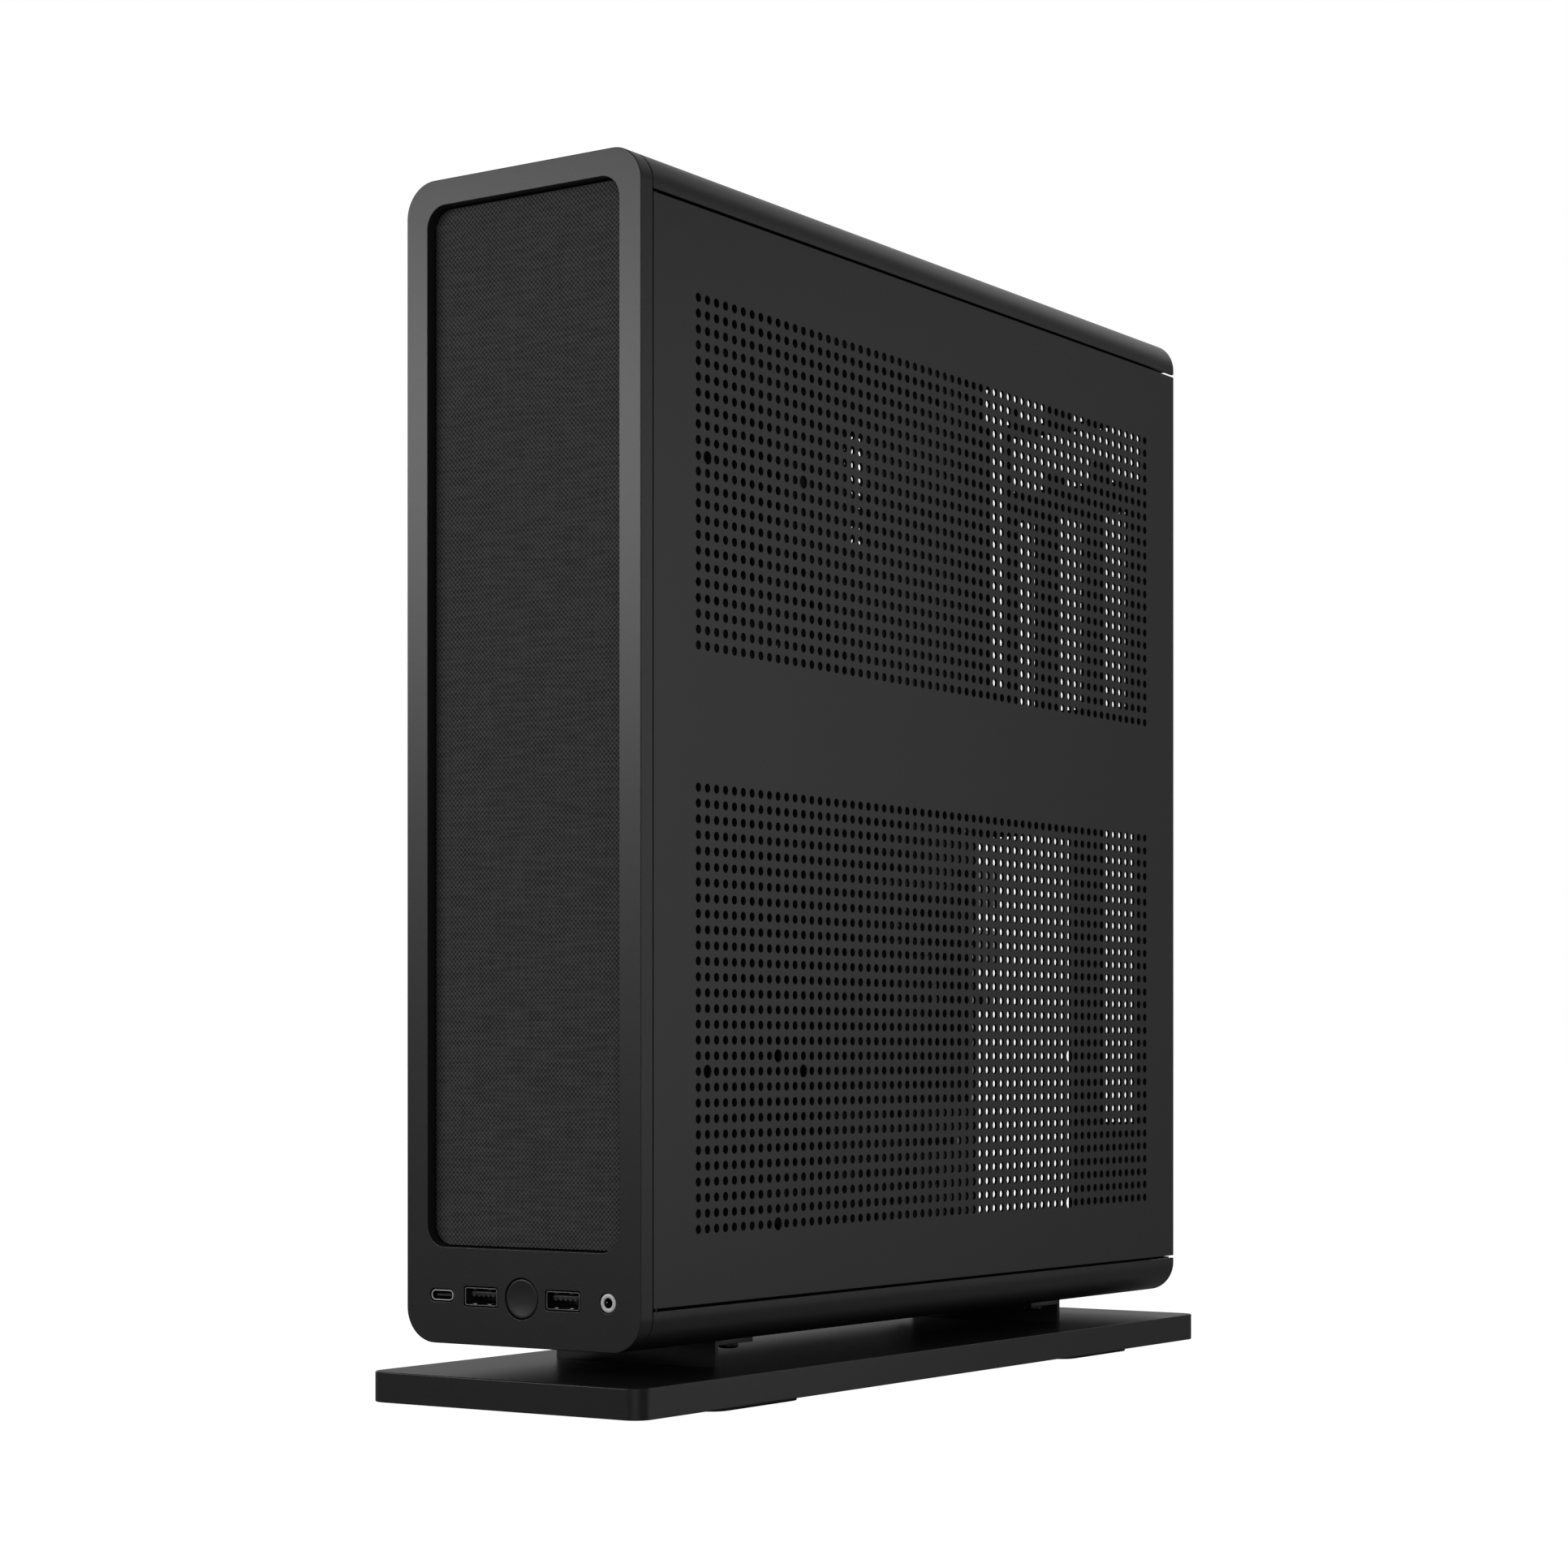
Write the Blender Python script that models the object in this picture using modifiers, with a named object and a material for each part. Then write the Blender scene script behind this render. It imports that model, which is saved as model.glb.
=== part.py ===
"""A slim upright mini PC on a flat stand, built as separate sub-parts.

The tower stands on +Z, its fabric front faces -Y, and "right" is +X as seen from the front.
Lengths are written in millimetres and turned into metres by the helpers.
"""

import math

import bmesh
import bpy
from mathutils import Matrix, Vector

MM = 0.001
GAP = 0.3  # air left between pieces that touch

# Stand
FOOT_H = 1.2
BASE_W, BASE_D, BASE_H, BASE_R = 109.2, 370.8, 9.9, 6.0
BASE_EDGE_R = 0.8
BASE_Z = FOOT_H + GAP
BASE_TOP = BASE_Z + BASE_H
BRACKET_W, BRACKET_T, BRACKET_REACH = 65.2, 1.8, 21.7
BRACKET_Y = 114.3  # outer face of each bracket wall, from the middle of the stand
TAB_W, TAB_X = 14.0, 20.0
STAND_SCREW_X, STAND_SCREW_Y, STAND_SCREW_HOLE_R = 28.5, 101.0, 2.4
FOOT_X, FOOT_W, FOOT_NEAR, FOOT_FAR = 43.3, 14.0, 88.0, 139.0

# Case
CASE_W, CASE_H, CASE_R = 94.2, 374.9, 11.2
CASE_Z = 20.7
CASE_TOP = CASE_Z + CASE_H
FRONT_Y, REAR_Y = -174.6, 180.3
FRAME_T = 6.3
SHELL_T = 1.2
PANEL_T = 1.0
SEAM = 0.9
SEAM_LOW = CASE_Z + 15.5
SEAM_HIGH = CASE_TOP - 13.9
STUD_R, STUD_TIP = 2.0, 42.0  # studs on the side panels, and how far from the middle they end
STUD_SPOTS = [(y, z) for y in (-145.0, 150.0) for z in (SEAM_LOW + 5.0, SEAM_HIGH - 5.0)]
SHELL_FRONT_Y = FRONT_Y + FRAME_T + GAP
HALF_W = CASE_W / 2
INNER_X = HALF_W - SHELL_T - GAP
INNER_LOW = CASE_Z + SHELL_T + GAP
INNER_HIGH = CASE_TOP - SHELL_T - GAP
INNER_R = CASE_R - SHELL_T - GAP

# Fabric front
MARGIN = 8.6
OPENING_LOW, OPENING_HIGH = CASE_Z + 31.1, CASE_TOP - 8.5
OPENING_HALF = HALF_W - MARGIN
OPENING_R = 7.0
RECESS = 5.0
FABRIC_T, CARRIER_T = 0.7, 2.4
PANEL_FIT = 0.5

# Ports, all on one line
PORT_Z = SEAM_LOW
BUTTON_R = 6.3
USB_A_X, USB_A_W, USB_A_H = 16.5, 13.2, 5.8
USB_C_X, USB_C_W, USB_C_H = -32.5, 9.4, 3.5
JACK_X, JACK_R = 34.2, 3.1
PORT_CLEAR = 0.3
SOCKET_BACK = 3.0  # solid stretch behind a connector's mouth
BUTTON_TRAVEL = 1.0

# Rear panel
REAR_T = 1.2
REAR_FACE = REAR_Y - 1.0
IO_WINDOW = (-42.9, 48.7, 0.8, 202.7)
SLOT_WINDOW = (16.8, 87.0, 29.6, 203.2)
INLET_X, ROCKER_X, INLET_Z = -15.0, 15.0, 228.0
ROCKER_W, ROCKER_PIVOT_Y, ROCKER_TILT = 11.4, 176.0, 7.0

# Main board, standing beside the left panel and facing +X
TRAY_X = -44.2
BOARD_X, BOARD_T, BOARD_SIDE = -40.2, 1.6, 170.0
BOARD_REAR, BOARD_LOW = 173.0, 41.0
BOARD_FACE = BOARD_X + BOARD_T
CPU_Y, CPU_Z = 61.0, 135.0
STACK = {"socket": (0.3, 3.0), "cpu": (3.6, 3.4), "sink": (7.3, 17.8)}  # start and height on the board
CPU_FAN_START = 25.4
FAN_SIDE = 80.0
FAN_T = 15.0
FAN_HOLE_R = 38.0
INTAKE_Z = (96.0, 180.0)
INTAKE_Y = -163.4

# Power supply
PSU_LOW = (-43.6, -150.0, 243.0)
PSU_HIGH = (19.9, -50.0, 368.0)
PSU_FAN_R = 42.0

FINISHES = {
    "powder_black": ((0.025, 0.025, 0.027), 0.55, 0.3),
    "sheet_steel": ((0.05, 0.05, 0.052), 0.5, 0.6),
    "fabric": ((0.03, 0.03, 0.032), 0.95, 0.0),
    "plastic_black": ((0.02, 0.02, 0.021), 0.5, 0.0),
    "rubber": ((0.012, 0.012, 0.012), 0.9, 0.0),
    "port_metal": ((0.6, 0.6, 0.62), 0.3, 1.0),
    "port_dark": ((0.08, 0.08, 0.085), 0.4, 0.8),
    "screw_steel": ((0.12, 0.12, 0.125), 0.35, 1.0),
    "board": ((0.012, 0.02, 0.016), 0.5, 0.0),
    "aluminium": ((0.35, 0.35, 0.36), 0.4, 1.0),
    "cpu_metal": ((0.5, 0.5, 0.5), 0.35, 1.0),
    "cable": ((0.015, 0.015, 0.015), 0.6, 0.0),
}


def clear_scene():
    for old in list(bpy.data.objects):
        bpy.data.objects.remove(old, do_unlink=True)


def new_collection(name):
    collection = bpy.data.collections.new(name)
    bpy.context.scene.collection.children.link(collection)
    return collection


def make_finishes():
    made = {}
    for name, (colour, roughness, metallic) in FINISHES.items():
        finish = bpy.data.materials.new(name)
        finish.use_nodes = True
        shader = finish.node_tree.nodes["Principled BSDF"]
        shader.inputs["Base Color"].default_value = (*colour, 1.0)
        shader.inputs["Roughness"].default_value = roughness
        shader.inputs["Metallic"].default_value = metallic
        made[name] = finish
    return made


clear_scene()
PARTS = new_collection("mini_pc")
CUTTERS = new_collection("cutters")
MADE = make_finishes()


def metres(point):
    return Vector([value * MM for value in point])


def own_finish(name, finish):
    """Each sub-part gets its own copy of its finish."""
    copy = MADE[finish].copy()
    copy.name = name + "_" + finish
    return copy


def mesh_object(name, mesh, finish=None, smooth_angle=None):
    obj = bpy.data.objects.new(name, mesh)
    if finish is None:
        CUTTERS.objects.link(obj)
        obj.hide_render = True
        obj.display_type = "WIRE"
        return obj
    PARTS.objects.link(obj)
    mesh.materials.append(own_finish(name, finish))
    if smooth_angle:
        mesh.shade_smooth()
        mesh.set_sharp_from_angle(angle=math.radians(smooth_angle))
    return obj


# Outlines -------------------------------------------------------------------------------------


def arc(centre, radius, start, end, steps):
    """Points on an arc, angles in degrees."""
    points = []
    for i in range(steps + 1):
        angle = math.radians(start + (end - start) * i / steps)
        points.append((centre[0] + radius * math.cos(angle), centre[1] + radius * math.sin(angle)))
    return points


def rounded(low_u, low_v, high_u, high_v, radius, steps=6):
    """A rectangle with round corners, anticlockwise."""
    corners = (
        (high_u - radius, low_v + radius, -90),
        (high_u - radius, high_v - radius, 0),
        (low_u + radius, high_v - radius, 90),
        (low_u + radius, low_v + radius, 180),
    )
    points = []
    for u, v, start in corners:
        points += arc((u, v), radius, start, start + 90, steps)
    return points


def rectangle(low_u, low_v, high_u, high_v):
    return [(low_u, low_v), (high_u, low_v), (high_u, high_v), (low_u, high_v)]


def circle(u, v, radius, steps=24):
    return arc((u, v), radius, 0, 360 - 360 / steps, steps - 1)


TURNS = {
    "X": Matrix(((0, 0, 1), (1, 0, 0), (0, 1, 0))),
    "Y": Matrix(((1, 0, 0), (0, 0, -1), (0, 1, 0))),
    "Z": Matrix.Identity(3),
}


def plate_curve(name, outlines, along, low, high, edge=0.0):
    """Outlines filled and extruded along an axis from low to high.

    Along X the outline is in (Y, Z), along Y in (X, Z), and along Z in (X, Y).
    """
    curve = bpy.data.curves.new(name, "CURVE")
    curve.dimensions = "2D"
    curve.fill_mode = "BOTH"
    curve.extrude = ((high - low) / 2 - edge) * MM
    if edge:
        curve.bevel_depth = edge * MM
        curve.bevel_resolution = 1
        curve.offset = -edge * MM
    for outline in outlines:
        spline = curve.splines.new("POLY")
        spline.points.add(len(outline) - 1)
        for point, (u, v) in zip(spline.points, outline):
            point.co = (u * MM, v * MM, 0, 1)
        spline.use_cyclic_u = True
    obj = bpy.data.objects.new(name, curve)
    place = {"X": (1, 0, 0), "Y": (0, 1, 0), "Z": (0, 0, 1)}[along]
    middle = (low + high) / 2 * MM
    obj.matrix_world = Matrix.Translation(Vector(place) * middle) @ TURNS[along].to_4x4()
    return obj


def plate(name, outlines, along, low, high, finish, edge=0.0):
    obj = plate_curve(name, outlines, along, low, high, edge)
    PARTS.objects.link(obj)
    obj.data.materials.append(own_finish(name, finish))
    return obj


def plate_mesh(name, outlines, along, low, high):
    """The same plate as a closed mesh in world space, ready for a Boolean."""
    obj = plate_curve(name + "_outline", outlines, along, low, high)
    CUTTERS.objects.link(obj)
    bpy.context.view_layer.update()
    mesh = bpy.data.meshes.new_from_object(obj.evaluated_get(bpy.context.evaluated_depsgraph_get()))
    mesh.transform(obj.matrix_world)
    bpy.data.objects.remove(obj, do_unlink=True)
    work = bmesh.new()
    work.from_mesh(mesh)
    bmesh.ops.remove_doubles(work, verts=work.verts, dist=1e-6)
    bmesh.ops.recalc_face_normals(work, faces=work.faces)
    work.to_mesh(mesh)
    work.free()
    mesh.name = name
    mesh.materials.clear()
    return mesh


# Solids ---------------------------------------------------------------------------------------


def box_mesh(name, low, high):
    work = bmesh.new()
    bmesh.ops.create_cube(work, size=1.0)
    size = metres([b - a for a, b in zip(low, high)])
    middle = metres([(a + b) / 2 for a, b in zip(low, high)])
    bmesh.ops.scale(work, vec=size, verts=work.verts)
    bmesh.ops.translate(work, vec=middle, verts=work.verts)
    mesh = bpy.data.meshes.new(name)
    work.to_mesh(mesh)
    work.free()
    return mesh


def box(name, low, high, finish, bevel=0.0):
    obj = mesh_object(name, box_mesh(name, low, high), finish)
    if bevel:
        rounding = obj.modifiers.new("edges", "BEVEL")
        rounding.width = bevel * MM
        rounding.segments = 1
    return obj


def rod_mesh(name, centre, along, low, high, radius, steps=16):
    """A cylinder along an axis; centre gives the two other coordinates, in axis order."""
    work = bmesh.new()
    bmesh.ops.create_cone(
        work, cap_ends=True, segments=steps, radius1=radius * MM, radius2=radius * MM,
        depth=(high - low) * MM,
    )
    middle = (low + high) / 2
    u, v = centre
    spot = {"X": (middle, u, v), "Y": (u, middle, v), "Z": (u, v, middle)}[along]
    bmesh.ops.rotate(work, matrix=TURNS[along], verts=work.verts)
    bmesh.ops.translate(work, vec=metres(spot), verts=work.verts)
    mesh = bpy.data.meshes.new(name)
    work.to_mesh(mesh)
    work.free()
    return mesh


def combine(obj, meshes, operation):
    """One EXACT Boolean for each mesh."""
    for i, mesh in enumerate(meshes):
        tool = mesh_object(f"{obj.name}_tool_{i}", mesh)
        step = obj.modifiers.new(f"{operation.lower()}_{i}", "BOOLEAN")
        step.operation = operation
        step.object = tool
    return obj


def fuse(obj, meshes):
    return combine(obj, meshes, "UNION")


def cut(obj, meshes):
    return combine(obj, meshes, "DIFFERENCE")


def turned(name, profile, origin, along, finish, steps=32):
    """A profile of (radius, height) turned about an axis through origin.

    The profile runs from the top of the axis down the outer side to the bottom.
    """
    mesh = bpy.data.meshes.new(name)
    work = bmesh.new()
    points = [work.verts.new((radius * MM, 0, height * MM)) for radius, height in profile]
    for first, second in zip(points, points[1:]):
        work.edges.new((first, second))
    work.to_mesh(mesh)
    work.free()
    obj = mesh_object(name, mesh, finish)
    obj.matrix_world = Matrix.Translation(metres(origin)) @ TURNS[along].to_4x4()
    screw = obj.modifiers.new("turn", "SCREW")
    screw.steps = steps
    screw.render_steps = steps
    screw.use_merge_vertices = True
    screw.merge_threshold = 1e-5
    screw.use_smooth_shade = True
    return obj


def cable(name, route, radius, finish):
    """A tube through points read from a smooth curve through the route."""
    curve = bpy.data.curves.new(name, "CURVE")
    curve.dimensions = "3D"
    curve.bevel_depth = radius * MM
    curve.bevel_resolution = 2
    curve.use_fill_caps = True
    points = smooth_route(route, 5.0 * radius)
    spline = curve.splines.new("POLY")
    spline.points.add(len(points) - 1)
    for point, place in zip(spline.points, points):
        point.co = (*metres(place), 1)
    obj = bpy.data.objects.new(name, curve)
    PARTS.objects.link(obj)
    curve.materials.append(own_finish(name, finish))
    return obj


def smooth_route(route, spacing):
    """Points of a Catmull-Rom curve through the route, about one spacing apart."""
    knots = [Vector(point) for point in route]
    knots = [2 * knots[0] - knots[1]] + knots + [2 * knots[-1] - knots[-2]]
    points = [knots[1]]
    for before, start, end, after in zip(knots, knots[1:], knots[2:], knots[3:]):
        steps = max(2, round((end - start).length / spacing))
        for i in range(1, steps + 1):
            t = i / steps
            points.append(
                0.5 * (2 * start + (end - before) * t
                       + (2 * before - 5 * start + 4 * end - after) * t ** 2
                       + (3 * start - before - 3 * end + after) * t ** 3)
            )
    return points


# Stand ----------------------------------------------------------------------------------------


def stand_base():
    slots = []
    for side in (-1, 1):
        middle = side * (BRACKET_Y - BRACKET_T / 2)
        for x in (-TAB_X, TAB_X):
            half_u, half_v = TAB_W / 2 + GAP, BRACKET_T / 2 + GAP
            slots.append(rectangle(x - half_u, middle - half_v, x + half_u, middle + half_v))
    outline = rounded(-BASE_W / 2, -BASE_D / 2, BASE_W / 2, BASE_D / 2, BASE_R, 5)
    base = plate_mesh("stand_base", [outline] + slots, "Z", BASE_Z, BASE_TOP)
    obj = mesh_object("stand_base", base, "powder_black", 35)
    edge = obj.modifiers.new("edges", "BEVEL")
    edge.width = BASE_EDGE_R * MM
    edge.segments = 2
    edge.limit_method = "ANGLE"
    edge.angle_limit = math.radians(60)


def stand_bracket(name, side):
    """An angle whose wall stands on the base and whose flange lies under the case."""
    outer, inner = side * BRACKET_Y, side * (BRACKET_Y - BRACKET_T)
    reach = side * (BRACKET_Y - BRACKET_REACH)
    top = CASE_Z - GAP
    under = top - BRACKET_T
    foot = BASE_TOP + GAP
    outline = [(outer, foot), (inner, foot), (inner, under), (reach, under), (reach, top), (outer, top)]
    half = BRACKET_W / 2
    obj = mesh_object(name, plate_mesh(name, [outline], "X", -half, half), "powder_black")
    tabs = []
    for x in (-TAB_X, TAB_X):
        low_y, high_y = sorted((outer - side * 0.1, inner + side * 0.1))
        tabs.append(box_mesh(name, (x - TAB_W / 2, low_y, BASE_Z + 1), (x + TAB_W / 2, high_y, foot + 1)))
    fuse(obj, tabs)
    cut(obj, [screw_hole(x, side * STAND_SCREW_Y, under, top) for x in (-STAND_SCREW_X, STAND_SCREW_X)])


def stand_screw(name, x, y):
    """A low button-head screw up through the flange and the case floor."""
    under = CASE_Z - GAP - BRACKET_T - GAP
    profile = [(0, 11.0), (1.9, 11.0), (1.9, 0), (3.35, 0), (3.35, -0.9), (2.9, -1.5), (1.5, -1.5),
               (1.5, -0.6), (0, -0.6)]
    turned(name, profile, (x, y, under), "Z", "screw_steel", 14)


def foot_strip(name, x, side):
    low_y, high_y = sorted((side * FOOT_NEAR, side * FOOT_FAR))
    outline = rounded(x - FOOT_W / 2, low_y, x + FOOT_W / 2, high_y, FOOT_W / 2 - 0.2)
    plate(name, [outline], "Z", 0, FOOT_H, "rubber")


def build_stand():
    stand_base()
    for side, word in ((-1, "front"), (1, "rear")):
        stand_bracket(f"stand_bracket_{word}", side)
        for x, hand in ((-STAND_SCREW_X, "left"), (STAND_SCREW_X, "right")):
            stand_screw(f"stand_screw_{word}_{hand}", x, side * STAND_SCREW_Y)
        for x, hand in ((-FOOT_X, "left"), (FOOT_X, "right")):
            foot_strip(f"foot_{word}_{hand}", x, side)


# Case -----------------------------------------------------------------------------------------


def front_frame():
    usb_u, usb_v = USB_A_W / 2 + PORT_CLEAR, USB_A_H / 2 + PORT_CLEAR
    usb_c_u, usb_c_v = USB_C_W / 2 + PORT_CLEAR, USB_C_H / 2 + PORT_CLEAR
    outlines = [
        rounded(-HALF_W, CASE_Z, HALF_W, CASE_TOP, CASE_R, 10),
        rounded(-OPENING_HALF, OPENING_LOW, OPENING_HALF, OPENING_HIGH, OPENING_R, 8),
        circle(0, PORT_Z, BUTTON_R + 0.2, 32),
        circle(JACK_X, PORT_Z, JACK_R + PORT_CLEAR, 24),
        rounded(USB_C_X - usb_c_u, PORT_Z - usb_c_v, USB_C_X + usb_c_u, PORT_Z + usb_c_v, usb_c_v, 6),
    ]
    for x in (-USB_A_X, USB_A_X):
        outlines.append(rounded(x - usb_u, PORT_Z - usb_v, x + usb_u, PORT_Z + usb_v, 0.8, 3))
    plate("front_frame", outlines, "Y", FRONT_Y, FRONT_Y + FRAME_T, "powder_black")


def wrap_outline(wall_end):
    """The lower half of the case's rounded wrap: a floor, its round corners and two short walls."""
    corner_x, corner_z = HALF_W - CASE_R, CASE_Z + CASE_R
    outline = []
    for radius, wall_x, turn in ((CASE_R, HALF_W, 1), (CASE_R - SHELL_T, HALF_W - SHELL_T, -1)):
        side = [(-wall_x, wall_end)]
        side += arc((-corner_x, corner_z), radius, 180, 270, 8)
        side += arc((corner_x, corner_z), radius, 270, 360, 8)
        side.append((wall_x, wall_end))
        outline += side[::turn]
    return outline


def screw_hole(x, y, low, high):
    return rod_mesh("screw_hole", (x, y), "Z", low - 1, high + 1, STAND_SCREW_HOLE_R)


def bottom_shell():
    mesh = plate_mesh("bottom_shell", [wrap_outline(SEAM_LOW - SEAM / 2)], "Y", SHELL_FRONT_Y, REAR_Y)
    obj = mesh_object("bottom_shell", mesh, "powder_black", 35)
    spots = [(x, y) for x in (-STAND_SCREW_X, STAND_SCREW_X) for y in (-STAND_SCREW_Y, STAND_SCREW_Y)]
    cut(obj, [screw_hole(x, y, CASE_Z, CASE_Z + SHELL_T) for x, y in spots])


def top_shell():
    """The same wrap upside down, with walls that end at the upper seam."""
    flip = CASE_Z + CASE_TOP
    outline = [(x, flip - z) for x, z in wrap_outline(flip - SEAM_HIGH - SEAM / 2)]
    plate("top_shell", [outline[::-1]], "Y", SHELL_FRONT_Y, REAR_Y, "powder_black")


def side_panel(name, side):
    """A flush sheet with four studs that press into the rails or the tray behind it."""
    low, high = SEAM_LOW + SEAM / 2, SEAM_HIGH - SEAM / 2
    near, far = sorted((side * (HALF_W - PANEL_T), side * HALF_W))
    panel = box(name, (near, SHELL_FRONT_Y, low), (far, REAR_Y, high), "powder_black")
    start, end = sorted((side * (HALF_W - PANEL_T + 0.5), side * STUD_TIP))
    fuse(panel, [rod_mesh("stud", spot, "X", start, end, STUD_R) for spot in STUD_SPOTS])


def rear_panel():
    """The back plate, with the board window, the card slot, the vents and the inlet's cut-out."""
    notch = [(INNER_X, SEAM_LOW - 2.2), (INNER_X - 9, SEAM_LOW - 2.2), (INNER_X - 9, SEAM_LOW + 2.2),
             (INNER_X, SEAM_LOW + 2.2)]
    high_notch = [(u, v - SEAM_LOW + SEAM_HIGH) for u, v in notch]
    corner = rounded(-INNER_X, INNER_LOW, INNER_X, INNER_HIGH, INNER_R)
    steps = len(corner) // 4
    outline = corner[:steps] + notch + high_notch + corner[steps:]
    top_vent = [(-25.6, 342.7), (-9.9, 342.7), (-9.9, 348.7), (-1.9, 348.7), (-1.9, 342.7), (10.1, 342.7),
                (10.1, 351.7), (19.1, 351.7), (19.1, 342.7), (33.4, 342.7), (33.4, 364.7), (-25.6, 364.7)]
    side_vent = [(-35.4, 263.7), (-30.4, 263.7), (-30.4, 370.5), (-26.0, 370.5), (-26.0, 378.0),
                 (-22.7, 378.0), (-22.7, 369.6), (-10.0, 369.6), (-10.0, 386.0), (-38.5, 386.0),
                 (-38.5, 370.5), (-35.4, 370.5)]
    vents = [top_vent, side_vent, rectangle(2.2, 368.4, 8.2, 374.0)]
    for low_x, high_x in ((-22.9, -14.9), (-4.2, 6.5), (16.5, 26.5)):
        vents.append(rectangle(low_x, 252.7, high_x, 330.2))
    inlet = rectangle(INLET_X - 14.3, INLET_Z - 10.8, ROCKER_X + 9.3, INLET_Z + 10.8)
    outlines = [outline, rectangle(*IO_WINDOW), rectangle(*SLOT_WINDOW), inlet] + vents
    plate("rear_panel", outlines, "Y", REAR_FACE - REAR_T, REAR_FACE, "sheet_steel")


def front_bulkhead():
    """The inner front plate that carries the intake fans."""
    outlines = [rounded(-INNER_X, INNER_LOW, INNER_X, INNER_HIGH, INNER_R)]
    for z in INTAKE_Z:
        outlines.append(circle(0, z, FAN_HOLE_R, 32))
    outlines.append(rounded(-32, 238, 32, 370, 4, 3))
    outlines.append(rounded(-43, PORT_Z - 9, 43, PORT_Z + 9, 2, 2))
    plate("front_bulkhead", outlines, "Y", -165.0, -164.0, "sheet_steel")


def tray_plate():
    """The inner plate beside the left panel, which the board and the power supply stand on."""
    outlines = [
        rectangle(-163.6, 34.0, REAR_FACE - REAR_T - GAP, 382.0),
        rounded(78.0, 309.0, 99.0, 355.0, 4, 3),
        rounded(-44.0, 60.0, -26.0, 92.0, 4, 3),
        rounded(-44.0, 170.0, -26.0, 202.0, 4, 3),
    ]
    outlines += [circle(y, z, STUD_R + 0.6, 12) for y, z in STUD_SPOTS]
    plate("tray_plate", outlines, "X", TRAY_X - 1.2, TRAY_X, "sheet_steel")


def panel_rail(name, low, high):
    """A strip behind the right panel's edge, which the panel's studs press into."""
    outlines = [rectangle(-163.6, low, 166.0, high)]
    outlines += [circle(y, z, STUD_R + 0.6, 12) for y, z in STUD_SPOTS if low < z < high]
    plate(name, outlines, "X", 43.2, 44.4, "sheet_steel")


def build_case():
    front_frame()
    bottom_shell()
    top_shell()
    side_panel("side_panel_right", 1)
    side_panel("side_panel_left", -1)
    rear_panel()
    front_bulkhead()
    tray_plate()
    panel_rail("rail_low", SEAM_LOW - 5, SEAM_LOW + 9)
    panel_rail("rail_high", SEAM_HIGH - 9, SEAM_HIGH + 5)


# Fabric front ---------------------------------------------------------------------------------


def build_fabric_front():
    half = OPENING_HALF - PANEL_FIT
    low, high = OPENING_LOW + PANEL_FIT, OPENING_HIGH - PANEL_FIT
    radius = OPENING_R - PANEL_FIT
    outline = rounded(-half, low, half, high, radius, 8)
    face = FRONT_Y + RECESS
    plate("fabric_sheet", [outline], "Y", face, face + FABRIC_T, "fabric")
    border, bar, windows = 5.0, 4.0, 4
    pitch = (high - low - 2 * border + bar) / windows
    outlines = [outline]
    for i in range(windows):
        start = low + border + i * pitch
        outlines.append(rounded(-half + border, start, half - border, start + pitch - bar, 2, 2))
    back = face + FABRIC_T + GAP
    plate("fabric_carrier", outlines, "Y", back, back + CARRIER_T, "plastic_black")


# Front ports ----------------------------------------------------------------------------------


def socket(name, centre, along_sizes, depth, wall, tongue, finish, corner, front):
    """A connector that opens towards -Y: a thin mouth closed at the back, with a tongue standing in it."""
    x, z = centre
    half_w, half_h = along_sizes[0] / 2, along_sizes[1] / 2
    outer = rounded(x - half_w, z - half_h, x + half_w, z + half_h, corner, 4)
    obj = mesh_object(name, plate_mesh(name, [outer], "Y", front, front + depth), finish)
    half_w -= wall
    half_h -= wall
    mouth = rounded(x - half_w, z - half_h, x + half_w, z + half_h, max(corner - wall, 0.2), 4)
    floor = front + depth - SOCKET_BACK
    cut(obj, [plate_mesh(name, [mouth], "Y", front - 1, floor)])
    tongue_w, tongue_t, tongue_z, setback = tongue
    low = (x - tongue_w / 2, front + setback, z + tongue_z - tongue_t / 2)
    high = (x + tongue_w / 2, floor + 1, z + tongue_z + tongue_t / 2)
    fuse(obj, [box_mesh(name, low, high)])


def power_button():
    """The dished cap, with a shoulder behind the frame and a stem to the switch."""
    face = [(0, 5.2), (2.2, 5.35), (4.2, 5.7), (5.6, 6.05), (BUTTON_R, 6.05)]
    rest = [(BUTTON_R, -0.5), (7.4, -0.5), (7.4, -1.3), (2.0, -1.3), (2.0, -4.6), (0, -4.6)]
    origin = (0, FRONT_Y + FRAME_T, PORT_Z)
    turned("power_button", face + rest, origin, "Y", "powder_black", 32)


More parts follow.
